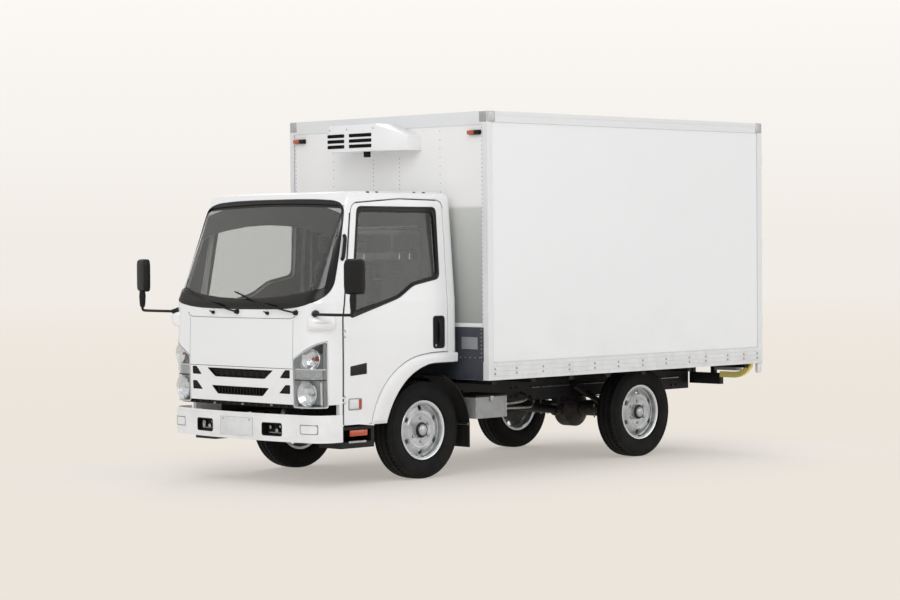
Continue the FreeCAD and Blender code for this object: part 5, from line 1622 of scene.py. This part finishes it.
class TRUCK_OT_rear(bpy.types.Operator):
    """Door seals, locking gear, plates and the rear bumper with its yellow ends"""
    bl_idname = "truck.rear"
    bl_label = "Rear"

    def execute(self, context):
        rear, half = BOX_REAR, BOX_HIGH.x - 0.060
        low, high = BOX_LOW.z + 0.144, BOX_HIGH.z - 0.116
        for side, sign in SIDES:
            parts = []
            outline = [(sign * 0.006, low + 0.003), (sign * (half - 0.009), low + 0.003),
                       (sign * (half - 0.009), high - 0.003), (sign * 0.006, high - 0.003)]
            if sign < 0:
                outline.reverse()
            loops = [[Vector((x, rear + out, z)) for x, z in rounded(inset(outline, gap), 0.02 - gap, 3, 2)]
                     for gap, out in ((-0.002, 0.0003), (0.001, 0.005), (0.007, 0.006), (0.012, 0.0035),
                                      (0.015, 0.0003))]
            parts.append(coat(band("door_seal", loops, Y), "rubber"))
            handle = hose("lock_handle", [(sign * 0.142, rear + 0.026, 1.195), (sign * 0.20, rear + 0.030, 1.195),
                                          (sign * 0.30, rear + 0.030, 1.188), (sign * 0.345, rear + 0.026, 1.18)],
                          0.009, 4)
            parts.append(coat(handle, "steel"))
            for z in (low + 0.015, high - 0.055):
                parts.append(slab("keeper", (sign * 0.140 - 0.035, rear - 0.001, z),
                                  (sign * 0.140 + 0.035, rear + 0.008, z + 0.036), 0.003, 2, "steel"))
            spots = [Vector((sign * x, rear + 0.0082, z))
                     for z in (1.08, 1.75, 2.45) for x in (half - 0.14, half - 0.10, half - 0.05)]
            parts.append(coat(rivet_rows("strap_bolts", spots, Y, 0.008, 0.005), "steel"))
            rail = block("rub_rail", (min(sign * 0.03, sign * (half - 0.2)), rear - 0.001, 0.99),
                         (max(sign * 0.03, sign * (half - 0.2)), rear + 0.006, 1.02), 0.003, 2)
            parts.append(coat(rail, "aluminium"))
            finish(merge(side + "_cargo_door_trim", parts), side + "_cargo_door", "steel", "steel")

        bar = dress("rear_bumper", "rear_bumper_bar", 0.006,
                    lambda p: "yellow" if abs(p.x) > YELLOW_FROM else "chassis", 3, (YELLOW_FROM, -YELLOW_FROM))
        finish(bar, "chassis", "chassis", "chassis_black", ("rear_bumper",), 40)
        feet = []
        for x in (-1.10, 1.10):
            foot = block("corner_foot", (x - 0.022, rear - 0.050, 0.652), (x + 0.018, rear + 0.006, 0.742), 0.016, 3)
            feet.append(coat(foot, "lacquer"))
        for x in (-0.86, 0.86):
            feet.append(slab("grey_bar", (x - 0.125, rear - 0.118, 0.702), (x + 0.125, rear - 0.106, 0.734), 0.003, 2,
                             "silver"))
        finish(merge("rear_corner_feet", feet), "chassis", "lacquer", "white_panel")
        board = slab("rear_plate_blank", (-0.18, rear + 0.0005, 0.755), (0.18, rear + 0.004, 0.865), 0.0015, 1,
                     "lacquer")
        ring = slab("rear_plate_frame", (-0.187, rear - 0.0005, 0.748), (0.187, rear + 0.0025, 0.872), 0.0012, 1,
                    "plastic")
        stop = [slab("buffer", (x - 0.045, rear - 0.001, 0.765), (x + 0.045, rear + 0.036, 0.850), 0.012, 3, "rubber")
                for x in (-0.9, 0.9)]
        finish(merge("rear_sill_trim", [board, ring] + stop), "chassis", "rubber", "black_plastic")
        return {"FINISHED"}


class TRUCK_OT_underbody(bpy.types.Operator):
    """Battery box with its lid, tank, springs' U-bolts, pipes and frame fasteners"""
    bl_idname = "truck.underbody"
    bl_label = "Under the body"

    def execute(self, context):
        box = dress("battery_box", "battery_box_casing", 0.006,
                    lambda p: "chassis" if p.x < 0.484 or p.y < 0.509 else "tank", 2)
        lid = slab("battery_lid", (0.482, 0.506, 0.588), (0.8335, 0.854, 0.604), 0.004, 2, "plastic")
        edge = [slab("battery_edge", (0.8285, y, 0.428), (0.8325, y + 0.012, 0.590), 0.0015, 1, "steel")
                for y in (0.512, 0.836)]
        latch = slab("battery_latch", (0.8295, 0.66, 0.55), (0.840, 0.70, 0.596), 0.003, 2, "steel")
        finish(merge("battery_casing", [box, lid, latch] + edge), "chassis", "tank", "tank_grey", ("battery_box",))
        tank = dress("fuel_tank", "fuel_tank_casing", 0.030, lambda p: "tank", 4)
        straps = [slab("tank_strap", (-0.823, y, 0.3975), (-0.432, y + 0.04, 0.6625), 0.012, 3, "steel")
                  for y in (0.82, 1.34)]
        filler = coat(lathe("fuel_cap", [(0, 0), (0, 0.034), (0.018, 0.036), (0.030, 0.032), (0.034, 0)],
                            (-0.80, 0.98, 0.60), 32, Vector((-1, 0, 0.5))), "plastic")
        finish(merge("fuel_tank_dressed", [tank, filler] + straps), "chassis", "tank", "tank_grey", ("fuel_tank",))
        parts = []
        for points, radius in (([(0.56, 0.846, 0.505), (0.56, 0.95, 0.503), (0.56, 1.20, 0.500), (0.55, 1.36, 0.515),
                                 (0.47, 1.46, 0.545), (0.374, 1.50, 0.560)], 0.011),
                               ([(0.60, 0.846, 0.470), (0.60, 1.00, 0.470), (0.59, 1.30, 0.462), (0.52, 1.46, 0.455),
                                 (0.44, 1.56, 0.49), (0.374, 1.60, 0.53)], 0.009),
                               ([(0.383, 1.60, 0.60), (0.383, 1.9, 0.60), (0.383, 2.4, 0.60), (0.383, 2.9, 0.60),
                                 (0.383, 3.45, 0.60)], 0.005)):
            parts.append(coat(hose("pipe", points, radius, 3), "steel"))
        for y in (1.7, 2.2, 2.7, 3.2):
            parts.append(slab("pipe_clip", (0.374, y, 0.592), (0.391, y + 0.014, 0.608), 0.002, 1, "chassis"))
        bolt = drum("frame_bolt", (0.3745, 0, 0), (0.383, 0, 0), 0.010, 6, 0.0015)
        spots = [Vector((0, y + dy, z)) for y in (0.55, 0.79, 1.40, 2.0, 2.9, 3.40) for dy in (-0.03, 0.03)
                 for z in (0.535, 0.605)]
        parts.append(coat(repeat_at(bolt, spots), "chassis"))
        for y, z, drop in ((0.0, 0.339, 0.05), (WHEELBASE, 0.424, 0.12)):
            for dy in (-0.045, 0.045):
                track = [(0.308, y + dy, z - drop), (0.308, y + dy, z + 0.055), (0.316, y + dy, z + 0.066),
                         (0.374, y + dy, z + 0.066), (0.382, y + dy, z + 0.055), (0.382, y + dy, z - drop)]
                parts.append(coat(hose("u_bolt", track, 0.006, 2, False), "steel"))
        parts.append(coat(drum("damper_band", (0.405, 2.262, 0.514), (0.405, 2.236, 0.528), 0.0325, 24, 0.004),
                          "rubber"))
        finish(other_side(merge("frame_fittings", parts)), "chassis", "steel", "steel")
        guard = dress("mudguards", "mudguard_dressed", 0.0025, lambda p: "plastic", 1)
        clamp = other_side(slab("flap_clamp", (0.608, 0.421, 0.385), (0.832, 0.442, 0.402), 0.003, 1, "steel"))
        finish(merge("mudguard_set", [guard, clamp]), "chassis", "plastic", "black_plastic", ("mudguards",))
        return {"FINISHED"}


# Cab interior

def cushion(name, low, high, crown, side):
    """Padded block: rounded all over, crowned towards one side, with its sides drawn in between the corners."""
    clear_selection()
    low, high = Vector(low), Vector(high)
    bpy.ops.mesh.primitive_cube_add(size=2)
    piece = named(name)
    edit(piece)
    whole()
    bpy.ops.mesh.subdivide(number_cuts=9)
    done()
    middle, half = (low + high) / 2, (high - low) / 2
    for vertex in piece.data.vertices:
        place = vertex.co.copy()
        norm = sum(abs(c) ** 7 for c in place) ** (1 / 7)
        place = place / norm
        free = [i for i in range(3) if i != side[0]]
        bulge = (1 - place[free[0]] ** 2) * (1 - place[free[1]] ** 2)
        for i in free:
            place[i] *= 1 - 0.035 * (1 - place[free[1 - free.index(i)]] ** 2) * (1 - abs(place[side[0]]))
        seam = sum(math.exp(-((place[free[0]] - s) / 0.035) ** 2) for s in (-0.55, 0.55))
        if place[side[0]] * side[1] > 0.3:
            place[side[0]] += side[1] * (crown * bulge - 0.05 * seam) / half[side[0]] * 0.1
        vertex.co = middle + Vector(place[i] * half[i] for i in range(3))
    return modify(piece, "SUBSURF", levels=1, render_levels=1)


def tilt_back(piece, foot, lean):
    """Leans a back cushion rearwards about its foot."""
    turn = Matrix.Translation(foot) @ Matrix.Rotation(-lean, 4, "X") @ Matrix.Translation(-Vector(foot))
    piece.data.transform(turn)
    return piece


class TRUCK_OT_seats(bpy.types.Operator):
    """Seat cushions, backs and headrests on their bases"""
    bl_idname = "truck.seats"
    bl_label = "Seats"

    def execute(self, context):
        first = True
        for name, low, high, heads in (("driver", 0.172, 0.618, (0.395,)),
                                       ("passenger", -0.618, 0.038, (-0.46, -0.12))):
            seat = cushion(name + "_cushion", (low, -0.418, 1.00), (high, 0.088, 1.118), 0.25, (2, 1))
            back = cushion(name + "_back", (low + 0.004, 0.085, 1.08), (high - 0.004, 0.185, 1.655), 0.25, (1, -1))
            tilt_back(back, (0, 0.13, 1.08), context.scene.truck_sizes.seat_lean)
            pads = [tilt_back(cushion(name + "_headrest", (x - 0.118, 0.145, 1.70), (x + 0.118, 0.222, 1.848), 0.2,
                                      (1, -1)), (0, 0.18, 1.7), math.radians(3)) for x in heads]
            for piece in [seat, back] + pads:
                finish(piece, "cab", "cloth", "grey_fabric", ("seats",) if first else (), 60)
                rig.padded(piece, fill=0.8)
                first = False
            base = [slab("seat_base", (low + 0.02, -0.40, 0.9515), (high - 0.02, 0.08, 1.03), 0.02, 3, "trim")]
            for x in heads:
                base += [coat(drum("headrest_rod", (x + dx, 0.178, 1.60), (x + dx, 0.186, 1.74), 0.006, 12, 0.001),
                              "chrome") for dx in (-0.055, 0.055)]
            finish(merge(name + "_seat_base", base), "cab", "trim", "grey_trim")
        return {"FINISHED"}


class TRUCK_OT_cabin(bpy.types.Operator):
    """Dashboard hood, dials, sun visors, inner mirror and the roof's small parts"""
    bl_idname = "truck.cabin"
    bl_label = "Cabin"

    def execute(self, context):
        parts = []
        for low, high in ((0.10, 0.66), (-0.66, -0.10)):
            visor = block("visor", (low, -0.735, 1.985), (high, -0.715, 2.085), 0.008, 3)
            parts.append(coat(visor, "trim"))
            parts.append(coat(drum("visor_rod", (low + 0.02, -0.722, 2.07), (low + 0.02, -0.70, 2.123), 0.006, 12,
                                   0.001), "trim"))
        parts.append(slab("inner_mirror", (-0.11, -0.705, 1.93), (0.11, -0.675, 1.995), 0.014, 4, "plastic"))
        parts.append(coat(drum("inner_mirror_stem", (0, -0.69, 1.99), (0, -0.69, 2.124), 0.008, 12, 0.002), "plastic"))
        hood = lathe("dial_hood", [(-0.26, 0.0), (-0.26, 0.075), (0.26, 0.075), (0.27, 0.06), (0.27, 0.0)],
                     (0.38, -0.93, 1.225), 40)
        parts.append(coat(hood, "trim"))
        for x in (0.29, 0.47):
            dial = lathe("dial", [(0, 0), (0, 0.052), (0.006, 0.055), (0.008, 0.050), (0.003, 0.047), (0.002, 0.0)],
                         (x, -0.868, 1.232), 40, Vector((0, 0.9, 0.35)))
            parts.append(coat(dial, "smoke"))
        for x in (-0.62, -0.38, -0.05, 0.08):
            vent = block("vent", (x, -0.812, 1.17), (x + 0.12, -0.792, 1.225), 0.006, 2)
            parts.append(coat(vent, "plastic"))
        finish(merge("cabin_fittings", parts), "cab", "trim", "grey_trim")
        studs = [drum("roof_stud", (x, y, 2.140), (x, y, 2.158), 0.012, 12, 0.003)
                 for x, y in ((0.755, -0.531), (0.745, -0.43), (0.737, -0.044), (0.744, 0.052))]
        finish(other_side(merge("roof_studs", studs)), "cab", "plastic", "black_plastic")
        return {"FINISHED"}


class TRUCK_OT_stage(bpy.types.Operator):
    """Camera, floor, backdrop and lights"""
    bl_idname = "truck.stage"
    bl_label = "Stage"

    def execute(self, context):
        place_camera()
        clear_selection()
        bpy.ops.mesh.primitive_circle_add(vertices=64, radius=90, fill_type="NGON")
        floor = named("studio_floor")
        floor.data.materials.append(floor_finish())
        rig.stage(floor)
        light_world()
        area_light("key_light", (6.0, -9.0, 8.0), (0, 0, 1.2), 7.0, 400.0)
        area_light("fill_light", (9.0, 5.0, 4.0), (0, 1, 1.2), 7.0, 120.0)
        area_light("back_light", (-7.5, 7.0, 9.5), (0, 0, 0.5), 6.0, 430.0)
        context.scene.view_settings.view_transform = "Standard"
        return {"FINISHED"}


class TRUCK_OT_finishes(bpy.types.Operator):
    """Materials, on every CAD node that stays in view"""
    bl_idname = "truck.finishes"
    bl_label = "Finishes"

    def execute(self, context):
        make_finishes(context.scene.truck_colours)
        finish_nodes()
        return {"FINISHED"}


def length_setting(name, description, default):
    return FloatProperty(name=name, description=description, default=default, min=default / 4, max=default * 3,
                         unit="LENGTH", precision=4)


def angle_setting(name, description, degrees):
    return FloatProperty(name=name, description=description, default=math.radians(degrees), min=0.0,
                         max=math.radians(degrees * 3), subtype="ANGLE", unit="ROTATION")


def colour_setting(name, description, default):
    return FloatVectorProperty(name=name, description=description, default=linear(default), size=4, min=0.0, max=1.0,
                               subtype="COLOR")


class TruckSizes(bpy.types.PropertyGroup):
    """Sizes that a user may change"""
    shoulder_blocks: IntProperty(name="Shoulder blocks", description="Tread blocks round each tyre's shoulder",
                                 default=60, min=24, max=120)
    tread_depth: length_setting("Tread depth", "Depth of the gaps between the shoulder blocks", 0.007)
    mirror_arm: length_setting("Mirror arm", "Radius of the tube that carries each door mirror", 0.0105)
    mirror_turn: angle_setting("Mirror turn", "Turn of the mirror heads towards the driver", 15)
    grab_bar: length_setting("Grab bar", "Radius of the grab bars on the cab's pillars", 0.0135)
    rivet_head: length_setting("Rivet head", "Radius of the rivet heads on the box's front wall", 0.0055)
    casting_edge: length_setting("Casting edge", "Rounding of the box's corner castings", 0.012)
    unit_edge: length_setting("Cooling unit edge", "Rounding of the cooling unit's casing", 0.009)
    seat_lean: angle_setting("Seat lean", "Lean of the seat backs", 5)


class TruckColours(bpy.types.PropertyGroup):
    """Colours that a user may change"""
    cab_colour: colour_setting("Cab", "Enamel of the cab, its doors and the bumper", "#F3F3F3")
    box_colour: colour_setting("Box", "Gel coat of the box's panels and doors", "#F1F1F1")
    wheel_colour: colour_setting("Wheels", "Lacquer of the wheels", "#C6CACE")
    bumper_end_colour: colour_setting("Bumper ends", "Enamel of the rear bumper's ends", "#FFEE8C")
    kick_plate_colour: colour_setting("Kick plate", "Paint of the plate low on the box's front wall", "#43464F")


STEPS = ["finishes", "stage", "tyres", "wheel_fittings", "glazing", "lining", "headlamps", "grille", "bumper",
         "wipers", "mirrors", "door_trim", "arches", "box_trim", "cooling_unit", "lamps", "rear", "underbody",
         "seats", "cabin"]


class TRUCK_PT_panel(bpy.types.Panel):
    """Buttons for the truck's pieces"""
    bl_label = "Refrigerated truck"
    bl_idname = "TRUCK_PT_panel"
    bl_space_type = "VIEW_3D"
    bl_region_type = "UI"
    bl_category = "Truck"

    def draw(self, context):
        for group in (context.scene.truck_sizes, context.scene.truck_colours):
            for item in type(group).__annotations__:
                self.layout.prop(group, item)
        for step in STEPS:
            self.layout.operator("truck." + step)


CLASSES = [TruckSizes, TruckColours, TRUCK_PT_panel] + [globals()["TRUCK_OT_" + step] for step in STEPS]


def register():
    for item in CLASSES:
        bpy.utils.register_class(item)
    bpy.types.Scene.truck_sizes = PointerProperty(type=TruckSizes)
    bpy.types.Scene.truck_colours = PointerProperty(type=TruckColours)


def unregister():
    del bpy.types.Scene.truck_sizes, bpy.types.Scene.truck_colours
    for item in reversed(CLASSES):
        bpy.utils.unregister_class(item)


def main():
    register()
    for step in STEPS:
        getattr(bpy.ops.truck, step)()
    model_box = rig.bounds()
    with open("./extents.json", "w") as out:
        json.dump({"cad": [list(cad_box[0]), list(cad_box[1])],
                   "model": [list(model_box[0]), list(model_box[1])]}, out)


if __name__ == "__main__":
    main()
